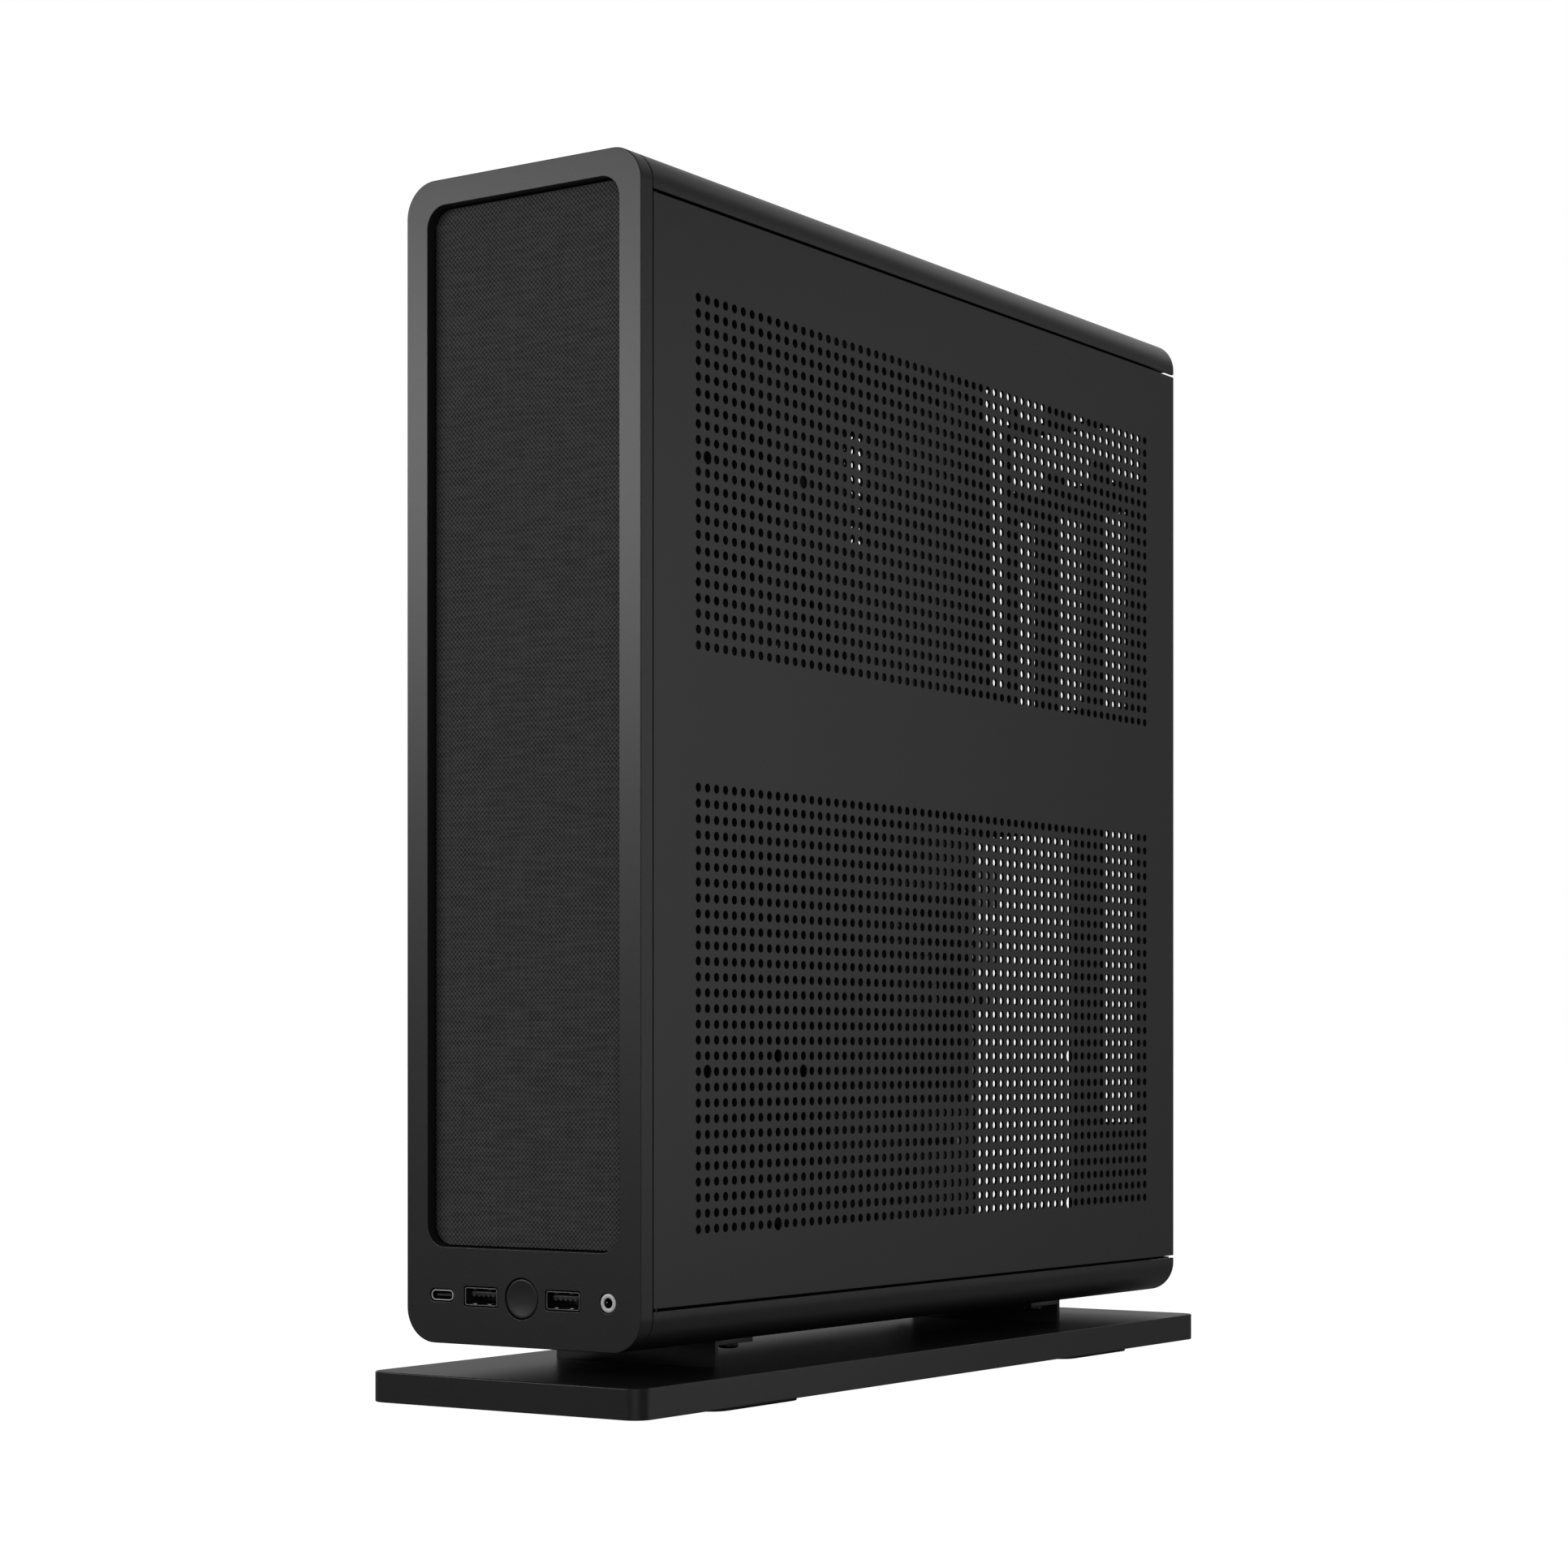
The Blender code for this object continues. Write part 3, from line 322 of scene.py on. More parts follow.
paints = {
    # colour dark, colour light, roughness low/high, specular, grain scale, grain depth, edge wear
    "powderBlack": dict(dark=(0.0115, 0.0115, 0.0122), light=(0.0145, 0.0145, 0.0152), rough=(0.345, 0.375),
                        specular=0.5, grain=2600, depth=0.05, wear=0.05, worn=(0.05, 0.05, 0.052)),
    "standBlack": dict(dark=(0.0115, 0.0115, 0.0122), light=(0.0145, 0.0145, 0.0152), rough=(0.32, 0.35),
                       specular=0.5, grain=2600, depth=0.05, wear=0.06, worn=(0.05, 0.05, 0.052)),
    "sheetSteel": dict(dark=(0.0135, 0.0135, 0.014), light=(0.0155, 0.0155, 0.016), rough=(0.46, 0.5),
                       specular=0.5, grain=1800, depth=0.02, wear=0.04, worn=(0.08, 0.08, 0.08)),
    "blackPlastic": dict(dark=(0.008, 0.008, 0.0085), light=(0.012, 0.012, 0.0125), rough=(0.42, 0.56),
                         specular=0.45, grain=3400, depth=0.12, wear=0.05, worn=(0.03, 0.03, 0.03)),
    "chip": dict(dark=(0.009, 0.009, 0.0095), light=(0.015, 0.015, 0.0155), rough=(0.3, 0.4),
                 specular=0.5, grain=2200, depth=0.05, wear=0.1, worn=(0.03, 0.03, 0.03)),
    "paleMark": dict(dark=(0.5, 0.5, 0.49), light=(0.62, 0.62, 0.61), rough=(0.45, 0.6),
                     specular=0.4, grain=3000, depth=0.05, wear=0.2, worn=(0.3, 0.3, 0.3)),
    # near-black for the rails seen through the panel seams: painted shade, so the seam gaps stay dark
    "mattBlack": dict(dark=(0.003, 0.003, 0.003), light=(0.005, 0.005, 0.005), rough=(0.8, 0.9),
                      specular=0.1, grain=1800, depth=0.02, wear=0.0, worn=(0.01, 0.01, 0.01)),
    "softRubber": dict(dark=(0.009, 0.009, 0.009), light=(0.016, 0.016, 0.0155), rough=(0.72, 0.9),
                       specular=0.3, grain=1500, depth=0.2, wear=0.2, worn=(0.04, 0.04, 0.038)),
}


def makePaint(name, look):
    # sprayed or moulded surface: fine grain, slow mottling, edges rubbed lighter
    finish, tree, shader = newFinish(name)
    place = objectPlace(tree)
    mottle = noise(tree, place, 38, 4, 0.55)
    speckle = noise(tree, place, look["grain"] * 0.5, 2)
    both = calc(tree, "ADD", calc(tree, "MULTIPLY", mottle, 0.15), calc(tree, "MULTIPLY", speckle, 0.85))
    colour = mixColours(tree, ramp(tree, both, 0, 1, 0.35, 0.65), look["dark"], look["light"])
    colour = mixColours(tree, edgeWear(tree, look["wear"]), colour, look["worn"])
    setSurface(tree, shader, colour, ramp(tree, both, *look["rough"]))
    setInputs(shader, **{"Specular IOR Level": look["specular"]})
    orangePeel = addBump(tree, shader, noise(tree, place, 420, 2), 0.03, 0.0004)
    addBump(tree, shader, noise(tree, place, look["grain"], 2), look["depth"], 0.0002, orangePeel)
    return finish


metals = {
    # brushed along one axis: stretch is small along the brushing
    "portMetal": dict(dark=(0.42, 0.42, 0.43), light=(0.66, 0.66, 0.67), rough=(0.22, 0.36),
                      stretch=(900, 60, 900)),
    "darkMetal": dict(dark=(0.16, 0.16, 0.165), light=(0.26, 0.26, 0.265), rough=(0.36, 0.5),
                      stretch=(900, 60, 900)),
    # near-white with little metal: a painted reflection of the bright room on the metal rings
    "paleRingPaintedReflection": dict(dark=(0.74, 0.74, 0.745), light=(0.86, 0.86, 0.865), rough=(0.42, 0.52),
                      stretch=(900, 60, 900), metallic=0.2),
    "contactMetal": dict(dark=(0.05, 0.05, 0.052), light=(0.1, 0.1, 0.102), rough=(0.3, 0.42),
                         stretch=(600, 60, 600), metallic=0.8),
    "screwSteel": dict(dark=(0.035, 0.035, 0.036), light=(0.07, 0.07, 0.072), rough=(0.3, 0.45),
                       stretch=(700, 700, 90)),
    "millAluminium": dict(dark=(0.42, 0.42, 0.425), light=(0.6, 0.6, 0.605), rough=(0.3, 0.46),
                          stretch=(500, 40, 500)),
    "nickel": dict(dark=(0.45, 0.44, 0.42), light=(0.62, 0.61, 0.59), rough=(0.2, 0.34), stretch=(60, 900, 900)),
    "goldContact": dict(dark=(0.55, 0.38, 0.13), light=(0.8, 0.6, 0.26), rough=(0.2, 0.32), stretch=(600, 60, 600)),
}


def makeMetal(name, look):
    finish, tree, shader = newFinish(name)
    lines = noise(tree, objectPlace(tree, look["stretch"]), 1.0, 4, 0.6)
    blotch = noise(tree, objectPlace(tree), 60, 3)
    both = calc(tree, "ADD", calc(tree, "MULTIPLY", lines, 0.6), calc(tree, "MULTIPLY", blotch, 0.4))
    colour = mixColours(tree, ramp(tree, both, 0, 1, 0.35, 0.65), look["dark"], look["light"])
    setSurface(tree, shader, colour, ramp(tree, both, *look["rough"], 0.35, 0.65))
    setInputs(shader, Metallic=look.get("metallic", 1.0))
    addBump(tree, shader, lines, 0.12, 0.0001)
    return finish


finishes = {name: makePaint(name, look) for name, look in paints.items()}
finishes.update({name: makeMetal(name, look) for name, look in metals.items()})

weave = dict(pitch=0.8 * mm, dark=(0.0125, 0.0125, 0.013), light=(0.122, 0.122, 0.125))


def makeWeave(name, look):
    # plain weave: yarns cross every pitch, weft yarns vary in thickness so fine lines run across; raised crossings
    # are painted lighter and sunk ones darker, a painted highlight and shade that follow the weave's height
    finish, tree, shader = newFinish(name)
    place = addNode(tree, "ShaderNodeTexCoord")
    split = addNode(tree, "ShaderNodeSeparateXYZ")
    tree.links.new(place.outputs["Object"], split.inputs[0])
    across = calc(tree, "SINE", calc(tree, "MULTIPLY", split.outputs["X"], math.pi / look["pitch"]))
    up = calc(tree, "SINE", calc(tree, "MULTIPLY", split.outputs["Z"], math.pi / look["pitch"]))
    crossing = calc(tree, "MULTIPLY", across, up)
    weft = noise(tree, objectPlace(tree, (90, 1, 1250)), 1.0, 2, 0.5)
    warp = noise(tree, objectPlace(tree, (1250, 1, 60)), 1.0, 2, 0.5)
    fibres = noise(tree, objectPlace(tree, (3000, 1, 9000)), 1.0, 3, 0.6)
    height = calc(tree, "ADD", calc(tree, "MULTIPLY", crossing, 0.5), calc(tree, "MULTIPLY", fibres, 0.35))
    # painted highlight and shade: raised crossings lighter, sunk crossings darker
    shade = calc(tree, "ADD", ramp(tree, crossing, 0.06, 0.8, -0.78, 0.78), ramp(tree, fibres, -0.12, 0.12))
    shade = calc(tree, "ADD", shade, ramp(tree, weft, -0.09, 0.09, 0.35, 0.65))
    shade = calc(tree, "ADD", shade, ramp(tree, warp, -0.04, 0.04, 0.35, 0.65))
    setSurface(tree, shader, mixColours(tree, shade, look["dark"], look["light"]), ramp(tree, fibres, 0.8, 0.95))
    setInputs(shader, **{"Specular IOR Level": 0.2, "Sheen Weight": 0.06, "Sheen Roughness": 0.5})
    addBump(tree, shader, height, 0.6, 0.00018)
    return finish


finishes["weave"] = makeWeave("weave", weave)

circuit = dict(base=(0.006, 0.009, 0.008), trace=(0.016, 0.024, 0.02), pitch=1.27 * mm)


def makeCircuit(name, look):
    # solder mask over copper tracks, which run along the board and step sideways
    finish, tree, shader = newFinish(name)
    step = addNode(tree, "ShaderNodeTexBrick", offset=0.37, squash=1.0)
    tree.links.new(objectPlace(tree, (0, 1, 1), (0, math.pi / 2, 0)), step.inputs["Vector"])
    setInputs(step, **{"Scale": 1 / (look["pitch"] * 6), "Mortar Size": 0.05})
    blotch = noise(tree, objectPlace(tree), 90, 3)
    setSurface(tree, shader, mixColours(tree, step.outputs["Fac"], look["base"], look["trace"]),
               ramp(tree, blotch, 0.3, 0.45))
    addBump(tree, shader, step.outputs["Fac"], 0.3, 0.0001)
    return finish


finishes["circuit"] = makeCircuit("circuit", circuit)

sleeve = dict(dark=(0.006, 0.006, 0.006), light=(0.022, 0.022, 0.023), strand=900)


def makeSleeve(name, look):
    # woven lead sleeve; strands are painted lighter at their middles and darker in the gaps between them, a painted
    # shade
    finish, tree, shader = newFinish(name)
    strands = addNode(tree, "ShaderNodeTexVoronoi", Scale=look["strand"])
    tree.links.new(objectPlace(tree, (1, 0.6, 0.8)), strands.inputs["Vector"])
    away = strands.outputs["Distance"]
    # painted shade: darker away from each strand's middle, where the surface sinks
    setSurface(tree, shader, mixColours(tree, ramp(tree, away, 1, 0, 0.1, 0.7), look["dark"], look["light"]),
               ramp(tree, away, 0.5, 0.75))
    addBump(tree, shader, away, 0.5, -0.0003)
    return finish


finishes["sleeve"] = makeSleeve("sleeve", sleeve)
print("finishes made:", len(finishes))


# camera and light

camera = dict(place=(0.66892, -1.01783, 0.1126), turn=33.989, lens=77.787, shift=0.1746)


def addCamera():
    bpy.ops.object.camera_add(location=camera["place"], rotation=(math.pi / 2, 0, math.radians(camera["turn"])))
    eye = bpy.context.object
    eye.data.lens = camera["lens"]
    eye.data.shift_y = camera["shift"]
    eye.data.clip_start = 0.05
    eye.data.clip_end = 60
    bpy.context.scene.camera = eye


# softboxes: place, what it faces, width and height in metres, power
softboxes = {
    "frontLeft": dict(place=(-1.06, -1.62, 0.66), aim=(0, -0.17, 0.34), size=(1.2, 0.2), power=9.4),
    "overhead": dict(place=(-0.4, 2.9, 1.9), aim=(0, 0, 0.35), size=(2.6, 1.4), power=7.2),
    "backdrop": dict(place=(-1.45, 2.0, 0.75), aim=(0, 0, 0.25), size=(2.2, 0.9), power=1.9),
    "behindRight": dict(place=(2.2, 1.75, 0.4), aim=(0, 0, 0.2), size=(1.6, 1.3), power=6.0),
    "frontRight": dict(place=(1.4, -2.1, 0.7), aim=(0, 0, 0.2), size=(1.6, 1.6), power=8),
    "left": dict(place=(-2.4, 1.0, 0.55), aim=(0, 0, 0.2), size=(1.6, 1.2), power=6),
}


def addSoftboxes():
    for name, box in softboxes.items():
        onlySelect()
        bpy.ops.object.light_add(type="AREA", location=box["place"])
        light = bpy.context.object
        light.name = name
        light.data.shape = "RECTANGLE"
        light.data.size, light.data.size_y = box["size"]
        light.data.energy = box["power"]
        light.rotation_euler = (Vector(box["aim"]) - Vector(box["place"])).to_track_quat("-Z", "Y").to_euler()


room = dict(seen=(1.0, 1.0, 1.0), fill=0.14, floor=(0.3, 0.3, 0.3), glow=1.0, reach=30)


def addRoom():
    # white surroundings that light the object only softly, and a pale floor
    world = bpy.data.worlds.new("room")
    bpy.context.scene.world = world
    world.use_nodes = True
    tree = world.node_tree
    backdrop = tree.nodes["Background"]
    backdrop.inputs["Color"].default_value = (*room["seen"], 1)
    path = addNode(tree, "ShaderNodeLightPath")
    tree.links.new(ramp(tree, path.outputs["Is Camera Ray"], room["fill"], 1.0, 0, 1), backdrop.inputs["Strength"])
    onlySelect()
    bpy.ops.mesh.primitive_plane_add(size=room["reach"] * 2, location=(0, 0, 0))
    floor = bpy.context.object
    floor.name = "floor"
    finish, tree, shader = newFinish("paleFloor")
    setInputs(shader, **{"Base Color": (*room["floor"], 1), "Roughness": 0.9, "Specular IOR Level": 0.0,
                         "Emission Color": (1, 1, 1, 1), "Emission Strength": room["glow"]})
    clear = addNode(tree, "ShaderNodeBsdfTransparent")
    side = addNode(tree, "ShaderNodeNewGeometry")
    oneSided = addNode(tree, "ShaderNodeMixShader")
    tree.links.new(side.outputs["Backfacing"], oneSided.inputs[0])
    tree.links.new(shader.outputs[0], oneSided.inputs[1])
    tree.links.new(clear.outputs[0], oneSided.inputs[2])
    tree.links.new(oneSided.outputs[0], tree.nodes["Material Output"].inputs["Surface"])
    floor.data.materials.append(finish)
    floor.visible_glossy = False
    floor.visible_diffuse = False


addCamera()
addSoftboxes()
addRoom()
bpy.context.scene.view_settings.view_transform = "Standard"
print("camera, lights and floor in place")


# perforated side panels

panel = lengths(pitch=5.0, hole=1.5, bigHole=2.2, columns=61, firstY=-144.0, firstZ=353.235,
                highRows=(0, 22), lowRows=(31, 59), edge=0.2, sides=12, sheet=1.0,
                stud=2.0, studY=(-145.0, 150.0), studZ=(41.2, 376.7),
                seamDrop=2.2, seamRise=0.6,  # how far the sheet reaches past its CAD box
                bigHoles=((1, 10), (12, 10), (9, 48), (1, 49), (12, 49), (48, 48), (9, 59), (48, 59)))


def resizeHole(obj, centre, radius, wanted):
    pick(obj, "VERT", lambda vert: (vert.co - centre).length < radius * 1.1)
    grow = wanted / radius
    bpy.ops.transform.resize(value=(grow, grow, grow), center_override=centre)
    endEdit()


def perforatedField(outer, rows):
    # one hole in its square, repeated along and down
    pitch = panel["pitch"]
    top = Vector((outer, panel["firstY"], panel["firstZ"] - rows[0] * pitch))
    onlySelect()
    facing = (0, math.pi / 2, 0)
    bpy.ops.mesh.primitive_circle_add(vertices=panel["sides"], radius=panel["bigHole"], location=top,
                                      rotation=facing)
    ring = settle(bpy.context.object, "ring")
    onlySelect()
    bpy.ops.mesh.primitive_plane_add(size=pitch, location=top, rotation=facing)
    cell = settle(bpy.context.object, "cell")
    pick(cell, "FACE", lambda face: True)
    bpy.ops.mesh.delete(type="ONLY_FACE")
    endEdit()
    cell = joinAll("cell", [cell, ring])
    pick(cell, "EDGE", lambda edge: True)
    bpy.ops.mesh.fill(use_beauty=False)  # round the widest hole, so a hole can be drawn in or let out
    endEdit()
    resizeHole(cell, top, panel["bigHole"], panel["hole"])
    for count, step in ((panel["columns"], (0, pitch, 0)), (rows[1] - rows[0] + 1, (0, 0, -pitch))):
        applyModifier(cell, "ARRAY", use_relative_offset=False, use_constant_offset=True, count=count,
                      constant_offset_displace=step, use_merge_vertices=True, merge_threshold=1e-5)
    return cell


def stretchSide(obj, axis, at, to):
    # pull the open border at one place out to another, leaving a plain strip
    def onBorder(edge):
        return edge.is_boundary and all(abs(vert.co[axis] - at) < 1e-5 for vert in edge.verts)
    pick(obj, "EDGE", onBorder)
    shift = [0, 0, 0]
    shift[axis] = to - at
    bpy.ops.mesh.extrude_region_move(TRANSFORM_OT_translate={"value": shift})
    endEdit()


def perforatedPanel(node, mirrored):
    # made as the right panel; the left one is the same sheet turned over
    low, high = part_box("side_panel_right")
    low.z -= panel["seamDrop"]
    high.z += panel["seamRise"]
    outer, pitch, half, firstZ = high.x, panel["pitch"], panel["pitch"] / 2, panel["firstZ"]
    highField = perforatedField(outer, panel["highRows"])
    lowField = perforatedField(outer, panel["lowRows"])
    borders = [firstZ - row * pitch + side * half
               for rows in (panel["highRows"], panel["lowRows"]) for row, side in zip(rows, (1, -1))]
    stretchSide(highField, 2, borders[1], borders[2])
    obj = joinAll(node + "_piece", [highField, lowField])
    pick(obj, "VERT", lambda vert: True)
    bpy.ops.mesh.remove_doubles(threshold=1e-5)
    endEdit()
    stretchSide(obj, 2, borders[0], high.z)
    stretchSide(obj, 2, borders[3], low.z)
    stretchSide(obj, 1, panel["firstY"] - half, low.y)
    stretchSide(obj, 1, panel["firstY"] + (panel["columns"] - 0.5) * pitch, high.y)
    for column, row in panel["bigHoles"]:
        centre = Vector((outer, panel["firstY"] + column * pitch, firstZ - row * pitch))
        resizeHole(obj, centre, panel["hole"], panel["bigHole"])
    pick(obj, "FACE", lambda face: True)
    bpy.ops.mesh.normals_make_consistent(inside=False)
    if bmesh.from_edit_mesh(obj.data).faces[0].normal.x < 0:
        bpy.ops.mesh.flip_normals()
    endEdit()
    applyModifier(obj, "SOLIDIFY", thickness=panel["sheet"], offset=-1)

    def onRim(edge):
        ends = [vert.co for vert in edge.verts]
        if any(abs(end.x - outer) > 1e-6 for end in ends):
            return False
        return any(abs(ends[0][axis] - at) < 1e-6 and abs(ends[1][axis] - at) < 1e-6
                   for axis, at in ((1, low.y), (1, high.y), (2, low.z), (2, high.z)))
    bevelEdges(obj, onRim, panel["edge"], 2)
    studs = []
    for y in panel["studY"]:
        for z in panel["studZ"]:
            studs.append(addRod("stud", (outer - panel["sheet"], y, z), (low.x, y, z), panel["stud"], 24))
    obj = joinAll(node + "_piece", [obj] + studs)
    if mirrored:
        pick(obj, "VERT", lambda vert: True)
        bpy.ops.transform.mirror(constraint_axis=(True, False, False), center_override=(0, 0, 0))
        bpy.ops.mesh.flip_normals()
        endEdit()
    smoothByAngle(obj, 35)
    applyModifier(obj, "WEIGHTED_NORMAL", keep_sharp=True)  # the wide flat border stays flat up to its edge
    return finishPiece(obj, node, "powderBlack", "powder_black", node)


perforatedPanel("side_panel_right", mirrored=False)
perforatedPanel("side_panel_left", mirrored=True)
print("side panels perforated")


# front frame, wrap halves

case = lengths(corner=11.2, cornerSteps=14, edge=0.3, shell=1.2, shellEdge=0.2,
               screwHole=2.4, past=5.0,
               # gap round the part, corner radius and corner steps of each opening, in millimetres
               openings={"fabric_sheet": (0.5, 7.0, 10), "usb_a_left": (0.3, 0.9, 6), "usb_a_right": (0.3, 0.9, 6),
                         "usb_c_port": (0.3, 1.9, 6)},
               roundOpenings={"audio_jack": 3.15, "power_button": 6.6})  # radius
standScrewNodes = ("stand_screw_front_left", "stand_screw_front_right", "stand_screw_rear_left",
                   "stand_screw_rear_right")


def roundedBlock(name, low, high, axis, radius, steps):
    # box with the four edges along one axis rounded
    obj = addBox(name, low, high)
    bevelEdges(obj, edgeAlong(axis), radius, steps)
    return obj


def frontFrame():
    low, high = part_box("front_frame")
    obj = roundedBlock("front_frame_piece", low, high, 1, case["corner"], case["cornerSteps"])
    start, end = low.y - case["past"], high.y + case["past"]
    cutters = []
    for node, (gap, radius, steps) in case["openings"].items():
        gap = Vector((gap, 0, gap))
        cutLow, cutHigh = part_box(node)
        cutLow, cutHigh = cutLow - gap, cutHigh + gap
        cutLow.y, cutHigh.y = start, end
        cutters.append(roundedBlock("cutter", cutLow, cutHigh, 1, radius, steps))
    for node, radius in case["roundOpenings"].items():
        x, _, z = middleOf(node)
        cutters.append(addRod("cutter", (x, start, z), (x, end, z), radius, 64))
    cutWith(obj, cutters)
    soften(obj, case["edge"], 2)
    return finishPiece(obj, "case", "powderBlack", "powder_black", "front_frame")


def wrapHalf(node, outer):
    # half of the bent wrap: a block with two round edges, opened and given its sheet thickness
    low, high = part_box(node)
    if outer > 0:
        low.z += panel["seamRise"]
    else:
        high.z -= panel["seamDrop"]
    obj = addBox(node + "_piece", low, high)
    closed = high.z if outer > 0 else low.z

    def corner(edge):
        return edgeAlong(1)(edge) and all(abs(vert.co.z - closed) < 1e-6 for vert in edge.verts)
    bevelEdges(obj, corner, case["corner"], case["cornerSteps"])
    pick(obj, "FACE", lambda face: abs(face.normal.y) > 0.9 or face.normal.z * outer < -0.9)
    bpy.ops.mesh.delete(type="FACE")
    endEdit()
    applyModifier(obj, "SOLIDIFY", thickness=case["shell"], offset=-1, use_even_offset=True)
    return obj


def bottomShell():
    obj = wrapHalf("bottom_shell", -1)
    cutters = []
    for node in standScrewNodes:
        x, y, _ = middleOf(node)
        cutters.append(addRod("cutter", (x, y, 15 * mm), (x, y, 28 * mm), case["screwHole"], 32))
    cutWith(obj, cutters)
    soften(obj, case["shellEdge"], 2)
    return finishPiece(obj, "case", "powderBlack", "powder_black", "bottom_shell")


def topShell():
    obj = wrapHalf("top_shell", 1)
    soften(obj, case["shellEdge"], 2)
    return finishPiece(obj, "case", "powderBlack", "powder_black", "top_shell")


frontFrame()
bottomShell()
topShell()
print("front frame and wrap made")


# fabric front

cloth = dict(pitch=0.8 * mm, lift=0.07 * mm, proud=1.2 * mm, corner=6.5 * mm, cornerCuts=7, turnIn=0.8)


def fabricSheet():
    # a grid with one point at each yarn crossing, pushed in and out by turns
    low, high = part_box("fabric_sheet")
    pitch = cloth["pitch"]
    columns = round((high.x - low.x) / pitch)
    rows = round((high.z - low.z) / pitch)
    onlySelect()
    front = low.y + cloth["lift"] - cloth["proud"]  # padding between carrier and cloth
    bpy.ops.mesh.primitive_grid_add(x_subdivisions=columns, y_subdivisions=rows, size=1,
                                    location=((low.x + high.x) / 2, front, (low.z + high.z) / 2),
                                    rotation=(math.pi / 2, 0, 0))
    obj = bpy.context.object
    obj.scale = (high.x - low.x, high.z - low.z, 1)
    settle(obj, "fabric_sheet_piece")

    def inside(vert):
        return low.x + 1e-5 < vert.co.x < high.x - 1e-5 and low.z + 1e-5 < vert.co.z < high.z - 1e-5

    def crossing(vert):
        column = round((vert.co.x - low.x) / (high.x - low.x) * columns)
        row = round((vert.co.z - low.z) / (high.z - low.z) * rows)
        return (column + row) % 2
    for odd, way in ((0, -1), (1, 1)):
        pick(obj, "VERT", lambda vert: inside(vert) and crossing(vert) == odd)
        bpy.ops.transform.translate(value=(0, way * cloth["lift"], 0))
        endEdit()
    # round corners: a few straight cuts at each
    radius, cuts = cloth["corner"], cloth["cornerCuts"]
    for sideX, sideZ in ((1, 1), (-1, 1), (-1, -1), (1, -1)):
        centre = Vector((sideX * (high.x - radius), front, high.z - radius if sideZ > 0 else low.z + radius))
        for i in range(cuts):
            angle = math.pi / 2 * (i + 0.5) / cuts
            way = Vector((sideX * math.cos(angle), 0, sideZ * math.sin(angle)))
            pick(obj, "VERT", lambda vert: True)
            bpy.ops.mesh.bisect(plane_co=centre + way * radius, plane_no=way, clear_outer=True)
            endEdit()
    pick(obj, "EDGE", lambda edge: edge.is_boundary)
    shift = (0, (high.y - front) * cloth["turnIn"], 0)
    bpy.ops.mesh.extrude_region_move(TRANSFORM_OT_translate={"value": shift})
    bpy.ops.mesh.edge_face_add()
    bpy.ops.mesh.select_all(action="SELECT")
    bpy.ops.mesh.normals_make_consistent(inside=False)
    endEdit()
    smoothByAngle(obj, 50)
    finishPiece(obj, "fabric_front", "weave", "fabric", "fabric_sheet")
    return obj


fabricSheet()
print("fabric stretched")


# stand

stand = lengths(corner=6.0, edge=0.4, tab=14.6, tabX=20.0, bracketDrop=0.28,
                slot=(0.3, 2.1))  # slot edges either side of the bracket's outer face


def standBase():
    low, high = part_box("stand_base")
    obj = roundedBlock("stand_base_piece", low, high, 2, stand["corner"], 10)
    cutters = []
    for node in ("stand_bracket_front", "stand_bracket_rear"):
        bracketLow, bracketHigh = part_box(node)
        wall = bracketLow.y if node.endswith("front") else bracketHigh.y
        inward = 1 if node.endswith("front") else -1
        near, far = sorted((wall - inward * stand["slot"][0], wall + inward * stand["slot"][1]))
        for x in (-stand["tabX"], stand["tabX"]):
            cutters.append(addBox("cutter", (x - stand["tab"] / 2, near, low.z - 5 * mm),
                                  (x + stand["tab"] / 2, far, high.z + 5 * mm)))
    cutWith(obj, cutters)
    soften(obj, stand["edge"], 3)
    return finishPiece(obj, "case", "standBlack", "powder_black", "stand_base")


standBase()
for name in ("stand_bracket_front", "stand_bracket_rear"):
    bracket = refined(name, 0.25 * mm, 2)
    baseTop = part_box("stand_base")[1].z
    pick(bracket, "VERT", lambda vert: baseTop + 0.2 * mm < vert.co.z < baseTop + 0.7 * mm)
    bpy.ops.transform.translate(value=(0, 0, -stand["bracketDrop"]))  # the wall's foot sits on the base
    endEdit()
    finishPiece(bracket, "case", "standBlack", "powder_black", name)
print("stand made")


# shapes that several pieces share

facing = {"X": (0, math.pi / 2, 0), "-X": (0, -math.pi / 2, 0), "Y": (-math.pi / 2, 0, 0),
          "-Y": (math.pi / 2, 0, 0), "Z": (0, 0, 0), "-Z": (math.pi, 0, 0),
          "sideways Y": (-math.pi / 2, -math.pi / 2, 0)}


def placed(obj, axis, place):
    # turn a shape made along +Z to face an axis, and put it in its place
    obj.rotation_euler = facing[axis]
    obj.location = place
    return settle(obj)


def ringStack(name, profile, sides=48):
    # round shape grown ring by ring along +Z from (radius, height) pairs in millimetres, closed at both ends
    (radius, height), *others = [(radius * mm, height * mm) for radius, height in profile]
    onlySelect()
    bpy.ops.mesh.primitive_circle_add(vertices=sides, radius=radius, location=(0, 0, height), fill_type="NGON")
    obj = settle(bpy.context.object, name)
    bpy.ops.object.mode_set(mode="EDIT")
    bpy.ops.mesh.select_mode(type="FACE")
    bpy.ops.mesh.select_all(action="SELECT")
    for nextRadius, nextHeight in others:
        bpy.ops.mesh.extrude_region_move(TRANSFORM_OT_translate={"value": (0, 0, nextHeight - height)})
        grow = nextRadius / radius
        bpy.ops.transform.resize(value=(grow, grow, 1), center_override=(0, 0, nextHeight))
        radius, height = nextRadius, nextHeight
    bpy.ops.mesh.select_all(action="SELECT")
    bpy.ops.mesh.normals_make_consistent(inside=False)
    endEdit()
    return smoothByAngle(obj, 40)


def softBox(name, low, high, edge, segments=2):
    obj = addBox(name, low, high)
    bevelEdges(obj, lambda corner: True, edge, segments)
    return smoothByAngle(obj, 30)


# connectors, made facing +Z with the mouth at height 0

